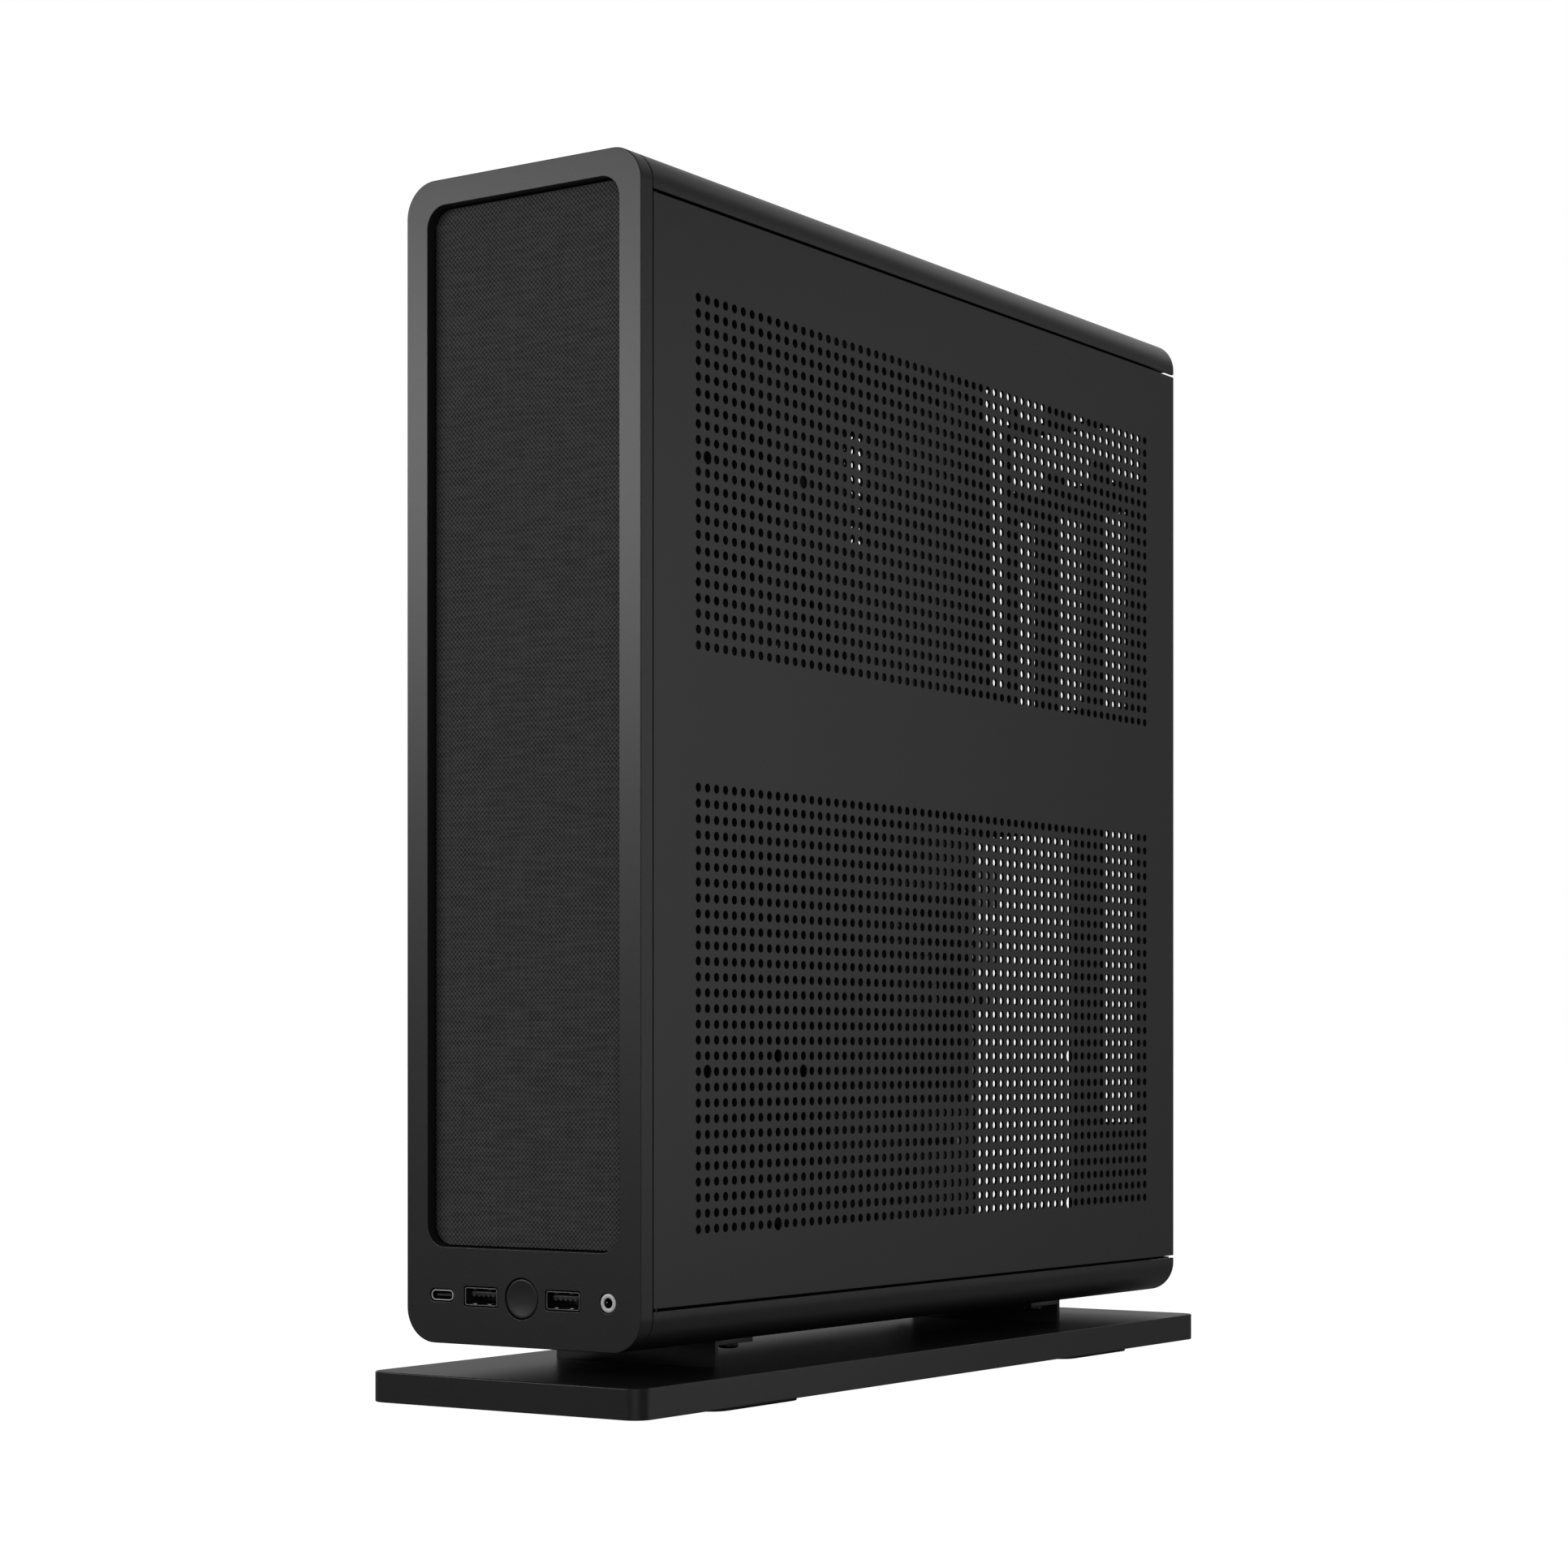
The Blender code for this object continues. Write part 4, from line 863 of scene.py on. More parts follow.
usbA = lengths(wide=13.2, tall=5.8, corner=0.8, wall=0.35, depth=18.0, back=3.0,
               tongue=(10.0, 1.4, 0.9, 1.5), contacts=5, contact=(0.9, 0.25), step=1.95,
               tabs=((-3.0, -1), (3.0, -1), (-3.0, 1), (3.0, 1)))
usbC = lengths(wide=9.0, tall=3.35, corner=1.62, wall=0.28, lining=0.15, depth=10.0, back=3.0,
               tongue=(6.4, 0.7, 0.0, 1.1), contacts=12, contact=(0.25, 0.06), step=0.5, tabs=())
hdmi = lengths(wide=15.0, tall=5.6, corner=1.2, wall=0.35, depth=19.0, back=3.0,
               tongue=(11.6, 1.1, 0.0, 1.5), contacts=10, contact=(0.4, 0.08), step=1.0,
               tabs=((-4.0, 1), (4.0, 1)))


def connector(node, look, axis, place, metal, slot, contactFinish):
    # shell with its spring tabs, tongue and contacts
    wide, tall, wall, depth = look["wide"] / 2, look["tall"] / 2, look["wall"], look["depth"]
    shell = roundedBlock(node + "_shell", (-wide, -tall, -depth), (wide, tall, 0), 2, look["corner"], 6)
    floor = look["back"] - depth
    mouth = roundedBlock("cutter", (wall - wide, wall - tall, floor), (wide - wall, tall - wall, 1 * mm), 2,
                         max(look["corner"] - wall, 0.2 * mm), 6)
    cutWith(shell, [mouth])
    soften(shell, 0.1 * mm, 2)
    tabs = []
    for x, side in look["tabs"]:
        inner = side * (tall - wall)
        low, high = sorted((inner + side * 0.1 * mm, inner - side * 0.35 * mm))
        tabs.append(softBox("tab", (x - 0.8 * mm, low, -6.0 * mm), (x + 0.8 * mm, high, -0.6 * mm), 0.12 * mm))
    shell = joinAll(node + "_shell", [shell] + tabs)
    width, thick, offset, setback = look["tongue"]
    tongue = softBox(node + "_tongue", (-width / 2, offset - thick / 2, floor - 0.5 * mm),
                     (width / 2, offset + thick / 2, -setback), 0.12 * mm)
    strips = []
    contactWide, contactThick = look["contact"]
    for i in range(look["contacts"]):
        x = (i - (look["contacts"] - 1) / 2) * look["step"]
        under = offset - thick / 2
        strips.append(softBox("strip", (x - contactWide / 2, under - contactThick, floor),
                              (x + contactWide / 2, under + 0.05 * mm, -setback - 0.3 * mm), 0.03 * mm, 1))
        strips.append(softBox("tip", (x - contactWide / 2, under - contactThick, -setback - 0.35 * mm),
                              (x + contactWide / 2, offset + thick * 0.1, 0.1 * mm - setback), 0.03 * mm, 1))
    contacts = joinAll(node + "_contacts", strips)
    if "lining" in look:
        inset = wall + look["lining"]
        lining = roundedBlock(node + "_lining", (wall - wide, wall - tall, floor),
                              (wide - wall, tall - wall, -0.3 * mm), 2,
                              look["corner"] - wall, 6)
        cutWith(lining, [roundedBlock("cutter", (inset - wide, inset - tall, floor + 0.2 * mm),
                                      (wide - inset, tall - inset, mm), 2, look["corner"] - inset, 6)])
        smoothByAngle(lining, 35)
        finishPiece(placed(lining, axis, place), "case", "blackPlastic", "plastic_black")
    for obj in (shell, tongue, contacts):
        placed(obj, axis, place)
    finishPiece(shell, "case", metal, slot, node)
    finishPiece(tongue, "case", "blackPlastic", "plastic_black")
    finishPiece(contacts, "case", contactFinish, "port_metal")


# the USB-C shell's pale ring colour is a painted reflection of the bright room
for node, look, metal, slot in (("usb_a_left", usbA, "darkMetal", "port_dark"),
                                ("usb_a_right", usbA, "darkMetal", "port_dark"),
                                ("usb_c_port", usbC, "paleRingPaintedReflection", "port_metal")):
    connector(node, look, "-Y", middleOf(node, 1), metal, slot, "contactMetal")
for node, look in (("hdmi_port", hdmi), ("usb_a_rear", usbA), ("usb_c_rear", usbC)):
    connector(node, look, "sideways Y", middleOf(node, 1, 1), "portMetal", "port_metal", "goldContact")

jack = dict(rim=[(2.95, -15.0), (2.95, -0.25), (2.88, -0.08), (2.72, 0), (1.85, 0), (1.7, -0.06), (1.65, -0.25),
                 (1.65, -13.0)], lining=[(1.63, -12.9), (1.63, -0.3), (1.48, -0.3), (1.48, -12.6)],
            spring=((-1.45, -0.35, -9.0), (-1.0, 0.35, -0.9)))


def audioJack():
    spot = middleOf("audio_jack", 1)
    ring = ringStack("audio_jack_ring", jack["rim"], 64)
    lining = ringStack("audio_jack_lining", jack["lining"], 48)
    low, high = jack["spring"]
    spring = softBox("audio_jack_spring", inMetres(low), inMetres(high), 0.1 * mm)
    # the jack's pale ring colour is a painted reflection of the bright room
    finishPiece(placed(ring, "-Y", spot), "case", "paleRingPaintedReflection", "port_metal", "audio_jack")
    finishPiece(placed(lining, "-Y", spot), "case", "blackPlastic", "plastic_black")
    finishPiece(placed(spring, "-Y", spot), "case", "portMetal", "port_metal")


audioJack()
print("connectors made")


# power button, screws and feet

button = dict(rings=[(2.0, -4.6), (2.0, -1.3), (7.4, -1.3), (7.4, -0.5), (6.3, -0.5), (6.3, 5.75),
                     (6.22, 5.95), (6.05, 6.05), (5.7, 6.04), (5.2, 5.98), (4.6, 5.9), (3.9, 5.82),
                     (3.1, 5.74), (2.2, 5.68), (1.2, 5.64), (0.3, 5.63)], rise=6.05)


def powerButton():
    spot = middleOf("power_button", 1)
    spot.y += button["rise"] * mm
    cap = ringStack("power_button_cap", button["rings"], 72)
    finishPiece(placed(cap, "-Y", spot), "power_button", "powderBlack", "powder_black", "power_button")


powerButton()

standScrew = dict(head=[(3.35, 0), (3.35, 0.75), (3.25, 1.0), (2.95, 1.25), (2.45, 1.43), (1.9, 1.5)], socket=1.15,
                  socketDepth=1.0, thread=1.9, root=1.6, pitch=0.7, length=11.0)


def standScrews():
    # button-head screw with a six-sided socket and a threaded shank
    look = standScrew
    rings = [(look["root"], -look["length"]), (look["thread"], 0.3 - look["length"])]
    height = 0.3 - look["length"]
    while height < -1.2:
        rings += [(look["root"], height + look["pitch"] / 2), (look["thread"], height + look["pitch"])]
        height += look["pitch"]
    rings += [(look["thread"], 0)] + look["head"]
    screw = ringStack("screw", rings, 32)
    top = look["head"][-1][1]
    socket = addRod("cutter", (0, 0, (top - look["socketDepth"]) * mm), (0, 0, (top + 1) * mm), look["socket"] * mm,
                    6)
    cutWith(screw, [socket])
    smoothByAngle(screw, 35)
    for node in standScrewNodes:
        spot = middleOf(node, 2)
        spot.z += top * mm
        copy = placed(duplicate(screw, node + "_piece"), "-Z", spot)
        finishPiece(copy, "case", "screwSteel", "screw_steel", node)
    discard(screw)


standScrews()
for node in ("foot_front_left", "foot_front_right", "foot_rear_left", "foot_rear_right"):
    finishPiece(refined(node, 0.3 * mm, 3), "case", "softRubber", "rubber", node)

panScrew = dict(head=[(1.4, -0.4), (1.4, 0), (2.7, 0), (2.75, 0.25), (2.65, 0.75), (2.3, 1.2), (1.7, 1.5),
                      (0.9, 1.65)],
                cross=(0.35, 1.45, 0.9))


def panHeads(name, spots, axis):
    # cross-head screws, one mesh for a set
    head = ringStack("head", panScrew["head"], 32)
    thin, reach, deep = inMetres(panScrew["cross"])
    for half in ((thin, reach), (reach, thin)):
        cutWith(head, [addBox("cutter", (-half[0], -half[1], deep), (half[0], half[1], 3 * mm))])
    smoothByAngle(head, 35)
    copies = [placed(duplicate(head, "copy"), axis, spot) for spot in spots]
    discard(head)
    return finishPiece(joinAll(name, copies), "case", "nickel", "screw_steel")


print("button, screws and feet made")


# fans, made along +Z with the motor plate at the low end

fanBody = dict(side=40.0, thick=15.0, corner=4.6, duct=38.0, lip=1.3, screwHole=2.15, screwAt=35.75, flange=3.0,
               wall=39.2, plate=(0.4, 2.4), motor=15.2, arm=4.0, armReach=38.8)
caseFan = dict(hub=13.0, low=3.0, high=13.5, root=12.0, tip=35.5, blades=7, chord=(13.0, 19.0), pitch=(50, 27),
               sweep=26, camber=1.3, thick=1.1, stations=8)
supplyFan = dict(hub=15.0, low=0.0, high=10.0, root=14.0, tip=39.2, blades=9, chord=(12.0, 17.5), pitch=(48, 27),
                 sweep=24,
                 camber=1.2, thick=1.1, stations=8)


def fanFrame(name):
    look = {key: value * mm for key, value in fanBody.items() if key != "plate"}
    side, thick, at = look["side"], look["thick"], look["screwAt"]
    obj = roundedBlock(name, (-side, -side, 0), (side, side, thick), 2, look["corner"], 6)
    waist = addBox("waist", (-side - mm, -side - mm, look["flange"]),
                   (side + mm, side + mm, thick - look["flange"]))
    cutWith(waist, [addRod("cutter", (0, 0, 0), (0, 0, thick), look["wall"], 96)])
    cutWith(obj, [waist])
    cutters = [addRod("cutter", (x, y, -mm), (x, y, thick + mm), look["screwHole"], 20)
               for x in (-at, at) for y in (-at, at)]
    cutters.append(addRod("cutter", (0, 0, -mm), (0, 0, thick + mm), look["duct"], 96))
    cutWith(obj, cutters)

    def mouth(edge):
        flat = all(abs(vert.co.z - edge.verts[0].co.z) < 1e-6 for vert in edge.verts)
        round_ = all(abs(vert.co.xy.length - look["duct"]) < 0.05 * mm for vert in edge.verts)
        return flat and round_ and (edge.verts[0].co.z < 1e-5 or edge.verts[0].co.z > thick - 1e-5)
    bevelEdges(obj, mouth, look["lip"] * 0.5, 3)
    smoothByAngle(obj, 30)
    (low, high), motor = fanBody["plate"], fanBody["motor"]
    rings = [(motor - 0.4, low), (motor, low + 0.4), (motor, high - 0.1), (motor - 0.1, high)]
    spokes = [ringStack("motor", rings, 64)]
    low, high = inMetres((low, high))
    for i in range(3):
        turn = math.radians(120 * i - 90)
        way = Vector((math.cos(turn), math.sin(turn), 0))
        spoke = softBox("spoke", (0, -look["arm"] / 2, low + 0.1 * mm),
                        (look["armReach"] - look["motor"] + 2 * mm, look["arm"] / 2, high - 0.1 * mm), 0.5 * mm)
        spoke.rotation_euler = (0, 0, turn)
        spoke.location = way * (look["motor"] - 1 * mm)
        spokes.append(settle(spoke))
    return joinAll(name, [obj] + spokes)


def fanRotor(name, look):
    # hub with a rounded cap, and one twisted blade turned round it
    root, tip, low, high = (look[key] * mm for key in ("root", "tip", "low", "high"))
    hub, back, face = look["hub"], look["low"], look["high"]
    rings = [(hub - 0.3, back), (hub, back + 0.3), (hub, face - 1.2), (hub - 0.35, face - 0.35),
             (hub - 1.2, face), (hub - 3.2, face), (hub - 3.6, face - 0.3), (0.5, face - 0.3)]
    cap = ringStack("hub", rings, 64)
    onlySelect()
    count = look["stations"]
    bpy.ops.mesh.primitive_grid_add(x_subdivisions=count, y_subdivisions=6, size=1,
                                    location=((root + tip) / 2, 0, 0))
    blade = bpy.context.object
    blade.scale = (tip - root, 1 * mm, 1)
    settle(blade, "blade")
    for row in (-2, -1, 0, 1, 2):  # camber, deepest in the middle of the chord
        pick(blade, "VERT", lambda vert: abs(vert.co.y - row / 6 * mm) < 0.02 * mm)
        bpy.ops.transform.translate(value=(0, 0, look["camber"] * mm * (1 - (row / 3) ** 2)))
        endEdit()
    for i in range(count + 1):
        part = i / count
        x = root + (tip - root) * part
        chord, pitch = (look[key][0] + (look[key][1] - look[key][0]) * part for key in ("chord", "pitch"))
        pick(blade, "VERT", lambda vert: abs(vert.co.x - x) < 0.2 * mm and abs(vert.co.y) < 0.6 * mm)
        bpy.ops.transform.resize(value=(1, chord, 1), center_override=(x, 0, 0))
        bpy.ops.transform.rotate(value=math.radians(-pitch), orient_axis="X", center_override=(x, 0, 0))
        bpy.ops.transform.rotate(value=math.radians(-look["sweep"] * part * part), orient_axis="Z",
                                 center_override=(0, 0, 0))
        endEdit()
    applyModifier(blade, "SOLIDIFY", thickness=look["thick"] * mm, offset=0)
    soften(blade, 0.25 * mm, 2, 50)
    blade.location.z = (low + high) / 2
    settle(blade)
    pick(blade, "FACE", lambda face: True)
    others = look["blades"] - 1
    bpy.ops.mesh.spin(steps=others, dupli=True, angle=2 * math.pi * others / look["blades"],
                      center=(0, 0, 0), axis=(0, 0, 1))
    endEdit()
    return joinAll(name, [cap, blade])


def fitFan(frameNode, rotorNode, body, axis, turn):
    # one case fan: the frame's low corner gives its place
    spot = middleOf(frameNode, "XYZ".index(axis))
    for shape, node, owner in ((caseFanFrame, frameNode, "case"), (caseFanRotor, rotorNode, body)):
        copy = duplicate(shape, node + "_piece")
        copy.rotation_euler = (0, 0, turn)
        settle(copy)
        finishPiece(placed(copy, axis, spot), owner, "blackPlastic", "plastic_black", node)


caseFanFrame = fanFrame("case_fan_frame")
caseFanRotor = fanRotor("case_fan_rotor", caseFan)
fitFan("intake_fan_frame_low", "intake_fan_rotor_low", "intake_fan_low", "Y", 0)
fitFan("intake_fan_frame_high", "intake_fan_rotor_high", "intake_fan_high", "Y", 0)
fitFan("cpu_fan_frame", "cpu_fan_rotor", "cpu_fan", "X", -math.pi / 2)
for shape in (caseFanFrame, caseFanRotor):
    discard(shape)
supplyRotor = fanRotor("power_supply_fan_rotor_piece", supplyFan)
finishPiece(placed(supplyRotor, "X", middleOf("power_supply_fan_rotor", 0)), "power_supply_fan",
            "blackPlastic", "plastic_black", "power_supply_fan_rotor")
print("fans made")


# power supply: cased block with slots, a wire grille and its screws

supply = lengths(slot=(1.6, 14.0, 2.5), slotColumns=12, slotRows=4, slotPitch=(4.4, 22.0), wire=0.8,
                 rings=(12.0, 24.0, 36.0), barReach=50.0, screwAt=(41.5, 52.5))


def powerSupply():
    low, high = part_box("power_supply")
    centre = middleOf("power_supply_fan_rotor")
    obj = refined("power_supply", 0)
    wide, tall, deep = supply["slot"]
    pitchX, pitchZ = supply["slotPitch"]
    middle = (low + high) / 2
    slots = []
    for column in range(supply["slotColumns"]):
        for row in range(supply["slotRows"]):
            x = middle.x + (column - (supply["slotColumns"] - 1) / 2) * pitchX
            z = middle.z + (row - (supply["slotRows"] - 1) / 2) * pitchZ
            slots.append(addBox("slot", (x - wide / 2, low.y - mm, z - tall / 2),
                                (x + wide / 2, low.y + deep, z + tall / 2)))
    cutWith(obj, slots)
    soften(obj, 0.5 * mm, 2)
    finishPiece(obj, "case", "sheetSteel", "supply_case", "power_supply")
    wires = []
    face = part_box("power_supply_grille")[0].x + supply["wire"]
    for radius in supply["rings"]:
        onlySelect()
        bpy.ops.mesh.primitive_torus_add(location=(face, centre.y, centre.z), rotation=facing["X"],
                                         major_radius=radius, minor_radius=supply["wire"],
                                         major_segments=64, minor_segments=10)
        wires.append(settle(bpy.context.object, "wire"))
    for angle in (45, 135):
        turn = math.radians(angle)
        way = Vector((0, math.cos(turn), math.sin(turn))) * supply["barReach"]
        spot = Vector((face, centre.y, centre.z))
        wires.append(addRod("bar", spot - way, spot + way, supply["wire"] * 0.95, 12))
    grille = smoothByAngle(joinAll("power_supply_grille_piece", wires), 40)
    finishPiece(grille, "case", "sheetSteel", "sheet_steel", "power_supply_grille")
    alongY, alongZ = supply["screwAt"]
    panHeads("power_supply_screws", [(high.x, centre.y + y, centre.z + z) for y in (-alongY, alongY)
                                     for z in (-alongZ, alongZ)], "X")


powerSupply()
print("power supply made")


# main board and what stands on it; places are (Y, Z) spans, and heights stand off its face

board = lengths(
    plastic=[(5.0, 55.0, 11.0, 68.0, 8.0), (12.0, 55.0, 18.0, 68.0, 8.0), (5.0, 189.0, 11.0, 202.0, 8.0),
             (12.0, 189.0, 18.0, 202.0, 8.0), (5.1, 60.0, 10.9, 197.0, 2.0), (12.1, 60.0, 17.9, 197.0, 2.0),
             (50.0, 182.0, 102.0, 191.5, 14.0), (84.0, 45.5, 104.0, 52.5, 9.0), (110.0, 88.0, 136.0, 93.0, 4.0),
             (24.0, 184.0, 38.0, 190.0, 8.0), (24.0, 194.0, 38.0, 200.0, 8.0), (22.0, 46.0, 46.0, 51.0, 8.5)],
    chips=[(118.0, 60.0, 130.0, 72.0, 1.6), (28.0, 66.0, 36.0, 74.0, 1.2), (70.0, 62.0, 79.0, 71.0, 1.2),
           (90.0, 64.0, 96.0, 72.0, 1.0), (104.0, 56.0, 110.0, 62.0, 1.0), (138.0, 62.0, 147.0, 71.0, 1.4),
           (110.0, 184.0, 118.0, 192.0, 1.2), (124.0, 186.0, 131.0, 193.0, 1.0), (138.0, 198.0, 143.0, 206.0, 1.0),
           (56.0, 52.0, 62.0, 57.0, 1.0), (150.0, 50.0, 155.0, 58.0, 1.0), (26.0, 84.0, 32.0, 88.0, 0.9)],
    chokes=[(143.0, 98.0 + 9.5 * i) for i in range(8)] + [(40.0 + 9.5 * i, 204.0) for i in range(4)],
    choke=(7.2, 6.4),
    cans=([(152.5, 98.0 + 9.5 * i) for i in range(8)] + [(110.0 + 8.0 * i, 203.0) for i in range(3)]
          + [(142.0, 80.0)]),
    standoffs=((12.0, 47.0), (12.0, 206.0), (160.0, 47.0), (160.0, 206.0)), screwHole=1.8,
    pins=dict(places=[(51.5 + 4.2 * i, z) for i in range(12) for z in (184.6, 188.9)], size=3.0, deep=9.0))

boardCan = (3.2, 9.0)  # radius and height of a can, in millimetres


def onBoard(span):
    # corners of a block standing on the board's face
    nearY, nearZ, farY, farZ, height = span
    return (boardFace - 0.3 * mm, nearY, nearZ), (boardFace + height, farY, farZ)


def mainBoard():
    obj = addBox("motherboard_piece", (boardBack, boardLow.y, boardLow.z), (boardFace, boardHigh.y, boardHigh.z))
    holes = [addRod("cutter", (boardBack - mm, y, z), (boardFace + mm, y, z),
                    board["screwHole"], 24) for y, z in board["standoffs"]]
    cutWith(obj, holes)
    soften(obj, 0.15 * mm, 1)
    finishPiece(obj, "case", "circuit", "circuit_board", "motherboard")
    panHeads("motherboard_screws", [(boardFace, y, z) for y, z in board["standoffs"]], "X")
    housings = [softBox("housing", *onBoard(span), 0.4 * mm) for span in board["plastic"]]
    size, deep = board["pins"]["size"] / 2, board["pins"]["deep"]
    powerSocket = housings[6]
    top = max(vert.co.x for vert in powerSocket.data.vertices)
    cutters = []
    for y, z in board["pins"]["places"]:
        cutters.append(addBox("cutter", (top - deep, y - size, z - size),
                              (top + mm, y + size, z + size)))
    cutWith(powerSocket, cutters)
    smoothByAngle(powerSocket, 30)
    finishPiece(joinAll("board_sockets", housings), "case", "blackPlastic", "plastic_black")
    chips = [softBox("chip", *onBoard(span), 0.15 * mm) for span in board["chips"]]
    finishPiece(joinAll("board_chips", chips), "case", "chip", "circuit_board")
    side, height = board["choke"]
    chokes = [softBox("choke", (boardFace - 0.2 * mm, y - side / 2, z - side / 2),
                      (boardFace + height, y + side / 2, z + side / 2), 0.7 * mm, 3)
              for y, z in board["chokes"]]
    finishPiece(joinAll("board_chokes", chokes), "case", "darkMetal", "circuit_board")
    radius, height = boardCan
    can = ringStack("can", [
        (radius, -0.2), (radius, 0.9), (radius - 0.25, 1.2), (radius - 0.25, 1.5), (radius, 1.8),
        (radius, height - 0.5),
        (radius - 0.15, height - 0.15), (radius - 0.5, height), (radius - 0.9, height - 0.15),
        (0.4, height - 0.15)], 28)
    cans = [placed(duplicate(can, "copy"), "X", (boardFace, y, z)) for y, z in board["cans"]]
    discard(can)
    finishPiece(joinAll("board_cans", cans), "case", "millAluminium", "circuit_board")


boardLow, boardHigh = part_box("motherboard")
boardBack, boardFace = boardLow.x, boardLow.x + 1.6 * mm
mainBoard()

memory = lengths(chip=(1.0, 9.5, 12.5), chips=8, firstZ=74.5, pitch=14.1)


def memoryModule(node):
    # circuit strip with chips on both faces
    low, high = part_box(node)
    middle = (low.y + high.y) / 2
    strip = softBox(node + "_piece", (low.x, middle - 0.6 * mm, low.z), (high.x, middle + 0.6 * mm, high.z),
                    0.12 * mm, 1)
    finishPiece(strip, "case", "circuit", "plastic_black", node)
    thick, tall, wide = memory["chip"]
    chips = []
    for side in (-1, 1):
        for i in range(memory["chips"]):
            z = memory["firstZ"] + memory["pitch"] * i
            near, far = sorted((middle + side * 0.5 * mm, middle + side * (0.6 * mm + thick)))
            chips.append(softBox("chip", (low.x + 12 * mm, near, z), (low.x + 12 * mm + tall, far, z + wide * 0.85),
                                 0.12 * mm))
    finishPiece(joinAll(node + "_chips", chips), "case", "chip", "plastic_black")


for node in ("ram_module_inner", "ram_module_outer"):
    memoryModule(node)

drive = lengths(grooves=6, grooveWide=1.6, grooveDeep=2.6)


def driveCooler():
    # grooved cooler over the drive
    low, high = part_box("ssd")
    obj = addBox("ssd_piece", low, high)
    pitch = (high.y - low.y) / (drive["grooves"] + 1)
    half = drive["grooveWide"] / 2
    cutters = []
    for i in range(drive["grooves"]):
        y = low.y + pitch * (i + 1)
        cutters.append(addBox("cutter", (high.x - drive["grooveDeep"], y - half, low.z + 6 * mm),
                              (high.x + mm, y + half, high.z - 6 * mm)))
    cutWith(obj, cutters)
    soften(obj, 0.25 * mm, 2)
    return finishPiece(obj, "case", "darkMetal", "aluminium", "ssd")


driveCooler()
for node, finish, slot, edge in (
        ("cpu_heatsink", "millAluminium", "aluminium", 0.12), ("cpu", "nickel", "cpu_metal", 0.3),
        ("cpu_socket", "blackPlastic", "plastic_black", 0.3),
        *[("standoff_" + corner, "nickel", "cpu_metal", 0.25)
          for corner in ("low_front", "low_rear", "high_front", "high_rear")],
        ("front_io_board", "circuit", "circuit_board", 0.15),
        ("power_switch", "blackPlastic", "plastic_black", 0.25)):
    finishPiece(refined(node, edge * mm, 2 if edge > 0.2 else 1), "case", finish, slot, node)
print("main board made")


# sheet metal inside, and the back

for node in ("rear_panel", "front_bulkhead", "tray_plate", "rail_low", "rail_high", "power_supply_shelf"):
    sheet = refined(node, 0.12 * mm, 1)
    applyModifier(sheet, "WEIGHTED_NORMAL", keep_sharp=True)
    # the rails take the near-black painted shade instead of sheet steel
    finish = "mattBlack" if node.startswith("rail") else "sheetSteel"
    finishPiece(sheet, "case", finish, "sheet_steel", node)
finishPiece(refined("fabric_carrier", 0.25 * mm, 2), "fabric_front", "blackPlastic", "plastic_black",
            "fabric_carrier")

inlet = lengths(pins=((-22.0, 226.0), (-15.0, 230.0), (-8.0, 226.0)), pin=(1.08, 2.08), back=166.2, tip=179.1)
rocker = dict(pivot=(15.0, 176.0, 228.0), tilt=7.0, bar=(0.5, 2.6), ring=(1.9, 0.4), at=4.3, rise=6.32, lean=11.04)


def mainsInlet():
    finishPiece(refined("mains_inlet", 0.35 * mm, 2), "case", "blackPlastic", "plastic_black", "mains_inlet")
    wide, tall = inlet["pin"]
    pins = [softBox("pin", (x - wide, inlet["back"], z - tall),
                    (x + wide, inlet["tip"], z + tall), 0.4 * mm, 3)
            for x, z in inlet["pins"]]
    finishPiece(joinAll("mains_inlet_pins", pins), "case", "nickel", "port_metal")


def mainsRocker():
    finishPiece(refined("mains_rocker", 0.4 * mm, 3), "mains_rocker", "blackPlastic", "plastic_black",
                "mains_rocker")
    thin, long = inMetres(rocker["bar"])
    lean = math.radians(rocker["lean"])
    bar = softBox("bar", (-thin, -0.1 * mm, -long), (thin, 0.12 * mm, long), 0.06 * mm)
    onlySelect()
    major, minor = inMetres(rocker["ring"])
    bpy.ops.mesh.primitive_torus_add(rotation=facing["Y"], major_radius=major, minor_radius=minor * 0.6,
                                     major_segments=40, minor_segments=8)
    ring = settle(bpy.context.object, "ring")
    for mark, side in ((bar, 1), (ring, -1)):
        mark.rotation_euler.x = -side * lean
        mark.location = (0, rocker["rise"] * mm, side * rocker["at"] * mm)
        settle(mark)
    marks = joinAll("mains_rocker_marks", [bar, ring])
    marks.rotation_euler.x = math.radians(rocker["tilt"])
    marks.location = inMetres(rocker["pivot"])
    finishPiece(settle(marks), "mains_rocker", "paleMark", "plastic_black")


mainsInlet()
mainsRocker()
print("inner sheets and back made")


# leads inside: smooth sleeved tubes, with a boot at each end

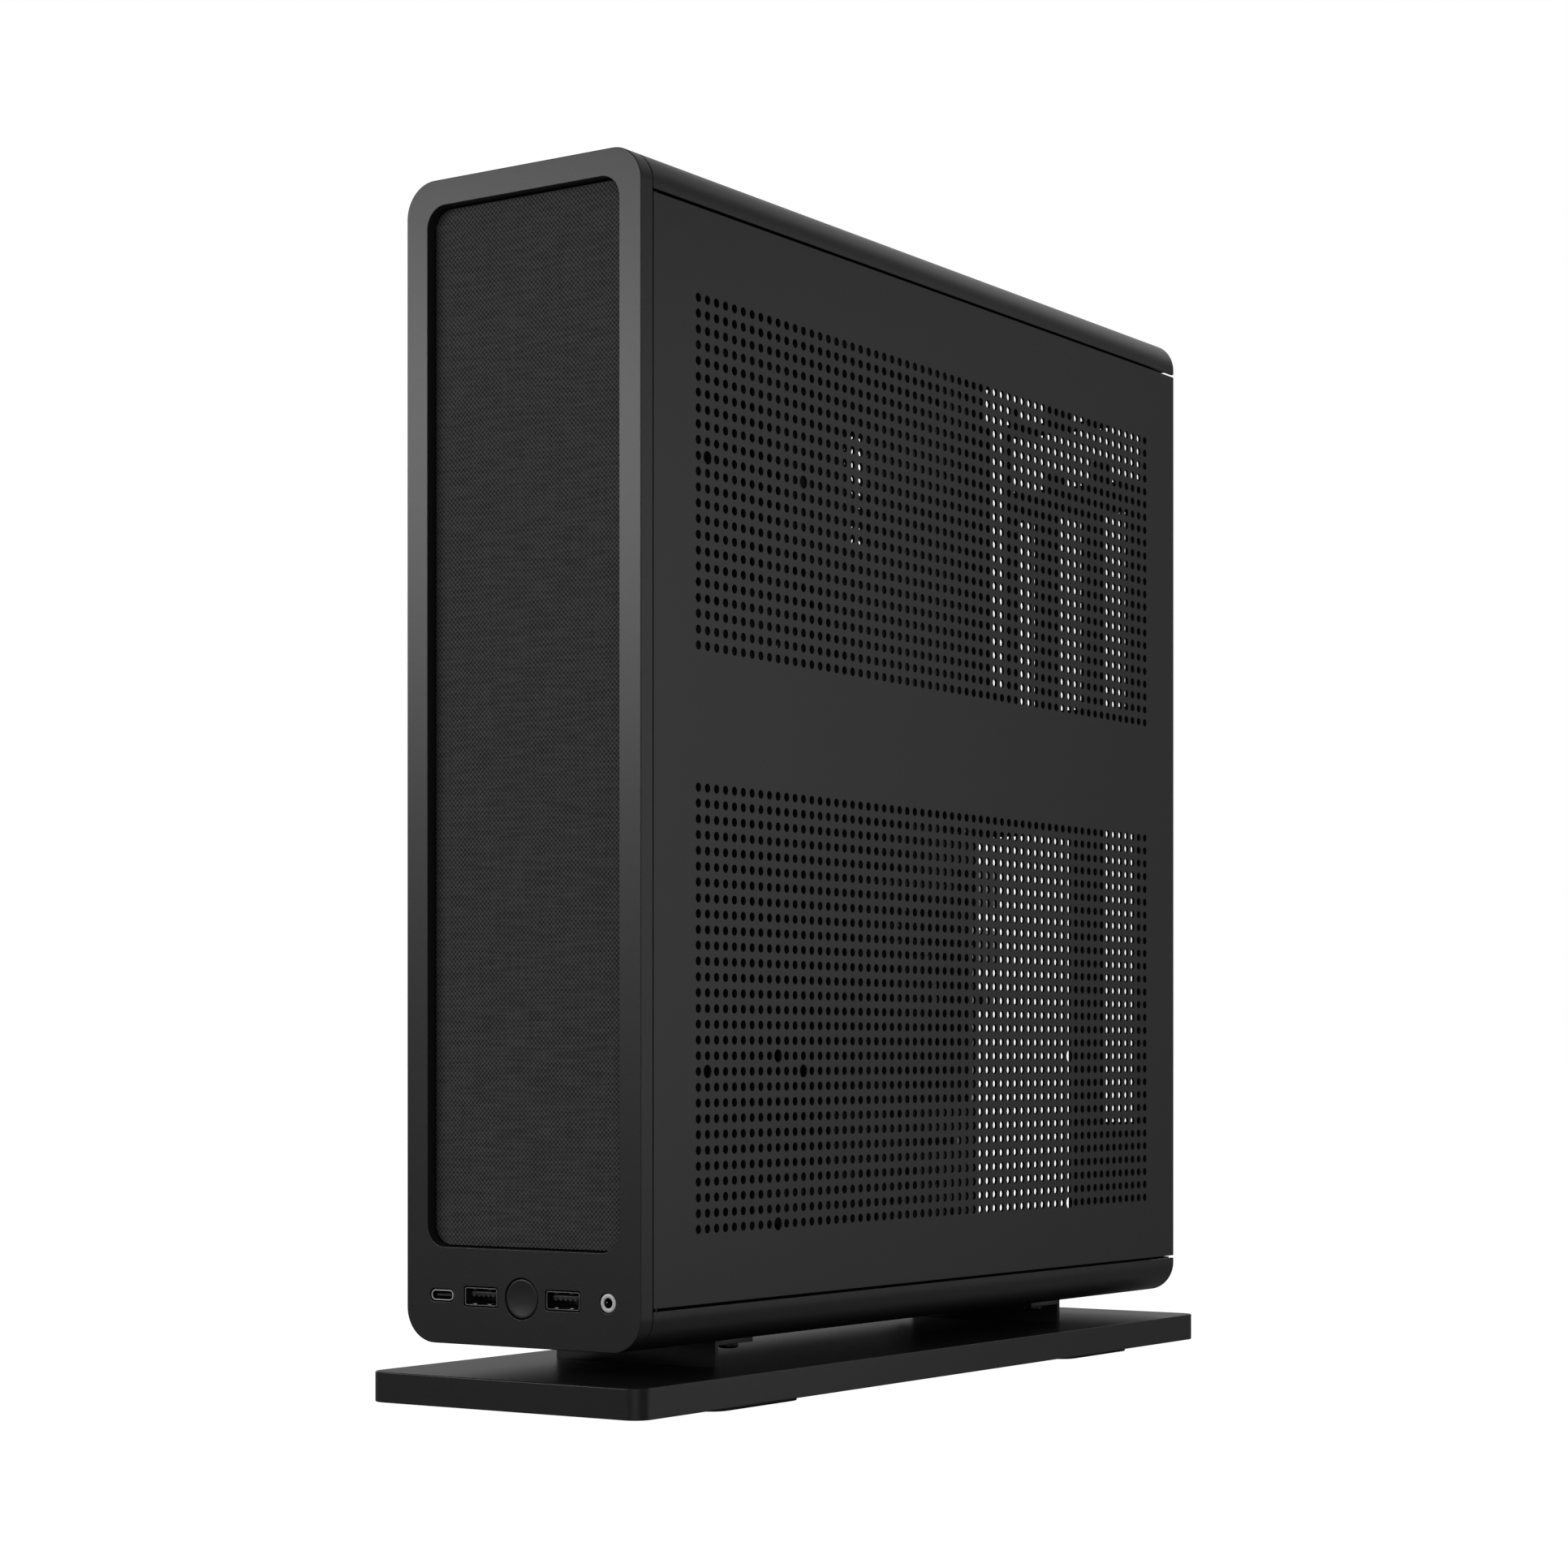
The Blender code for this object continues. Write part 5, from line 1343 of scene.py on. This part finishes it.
leads = {
    "mains_lead": dict(radius=3.2, route=[
        (-20, 153.4, 228), (-20, 149, 228), (-22, 140, 228), (-31, 126, 230), (-38, 106, 240), (-39, 76, 262),
        (-39, 40, 300), (-38, 0, 334), (-34, -28, 346), (-30, -40, 350), (-30, -45, 350), (-30, -49.4, 350)]),
    "board_power_cable": dict(radius=4.0, route=[
        (-26, -49.4, 262), (-26, -45, 262), (-26, -36, 261), (-25, -22, 252), (-24, -6, 232), (-24, 8, 218),
        (-24, 28, 214), (-24.5, 50, 218), (-26, 66, 216), (-28, 74, 206), (-28.6, 76, 197), (-28.6, 76, 192)]),
    "front_port_cable": dict(radius=2.4, route=[
        (0, -131.4, 34.5), (0, -127, 34.5), (-4, -118, 32), (-14, -98, 29), (-26, -60, 28), (-30, -10, 28),
        (-31, 30, 28), (-31, 64, 28), (-31, 84, 30), (-31.8, 93, 36), (-32.8, 94, 42), (-32.8, 94, 45)]),
}


def sleevedLead(node, look):
    onlySelect()
    bpy.ops.curve.primitive_bezier_curve_add()
    obj = rename(bpy.context.object, node + "_piece")
    spline = obj.data.splines[0]
    spline.bezier_points.add(len(look["route"]) - 2)
    for point, place in zip(spline.bezier_points, look["route"]):
        point.co = inMetres(place)
        point.handle_left_type = point.handle_right_type = "AUTO"
    obj.data.resolution_u = 10
    obj.data.bevel_depth = look["radius"] * mm
    obj.data.bevel_resolution = 5
    obj.data.use_fill_caps = True
    onlySelect(obj)
    bpy.ops.object.convert(target="MESH")
    smoothByAngle(obj, 50)
    finishPiece(obj, "case", "sleeve", "cable", node)
    boots = []
    for end, after in ((0, 1), (-1, -2)):
        start, way = (Vector(look["route"][i]) * mm for i in (end, after))
        way = (way - start).normalized()
        grow = look["radius"] * mm
        for i, (near, far) in enumerate(((0.05, 1.3), (1.3, 2.0))):
            boots.append(addRod("boot", start + way * grow * near, start + way * grow * far,
                                grow * (1.28 - 0.08 * i), 24, grow * (1.2 - 0.14 * i)))
    for boot in boots:
        soften(boot, 0.2 * mm, 2)
    finishPiece(joinAll(node + "_boots", boots), "case", "blackPlastic", "cable")


for node, look in leads.items():
    sleevedLead(node, look)
print("leads made")
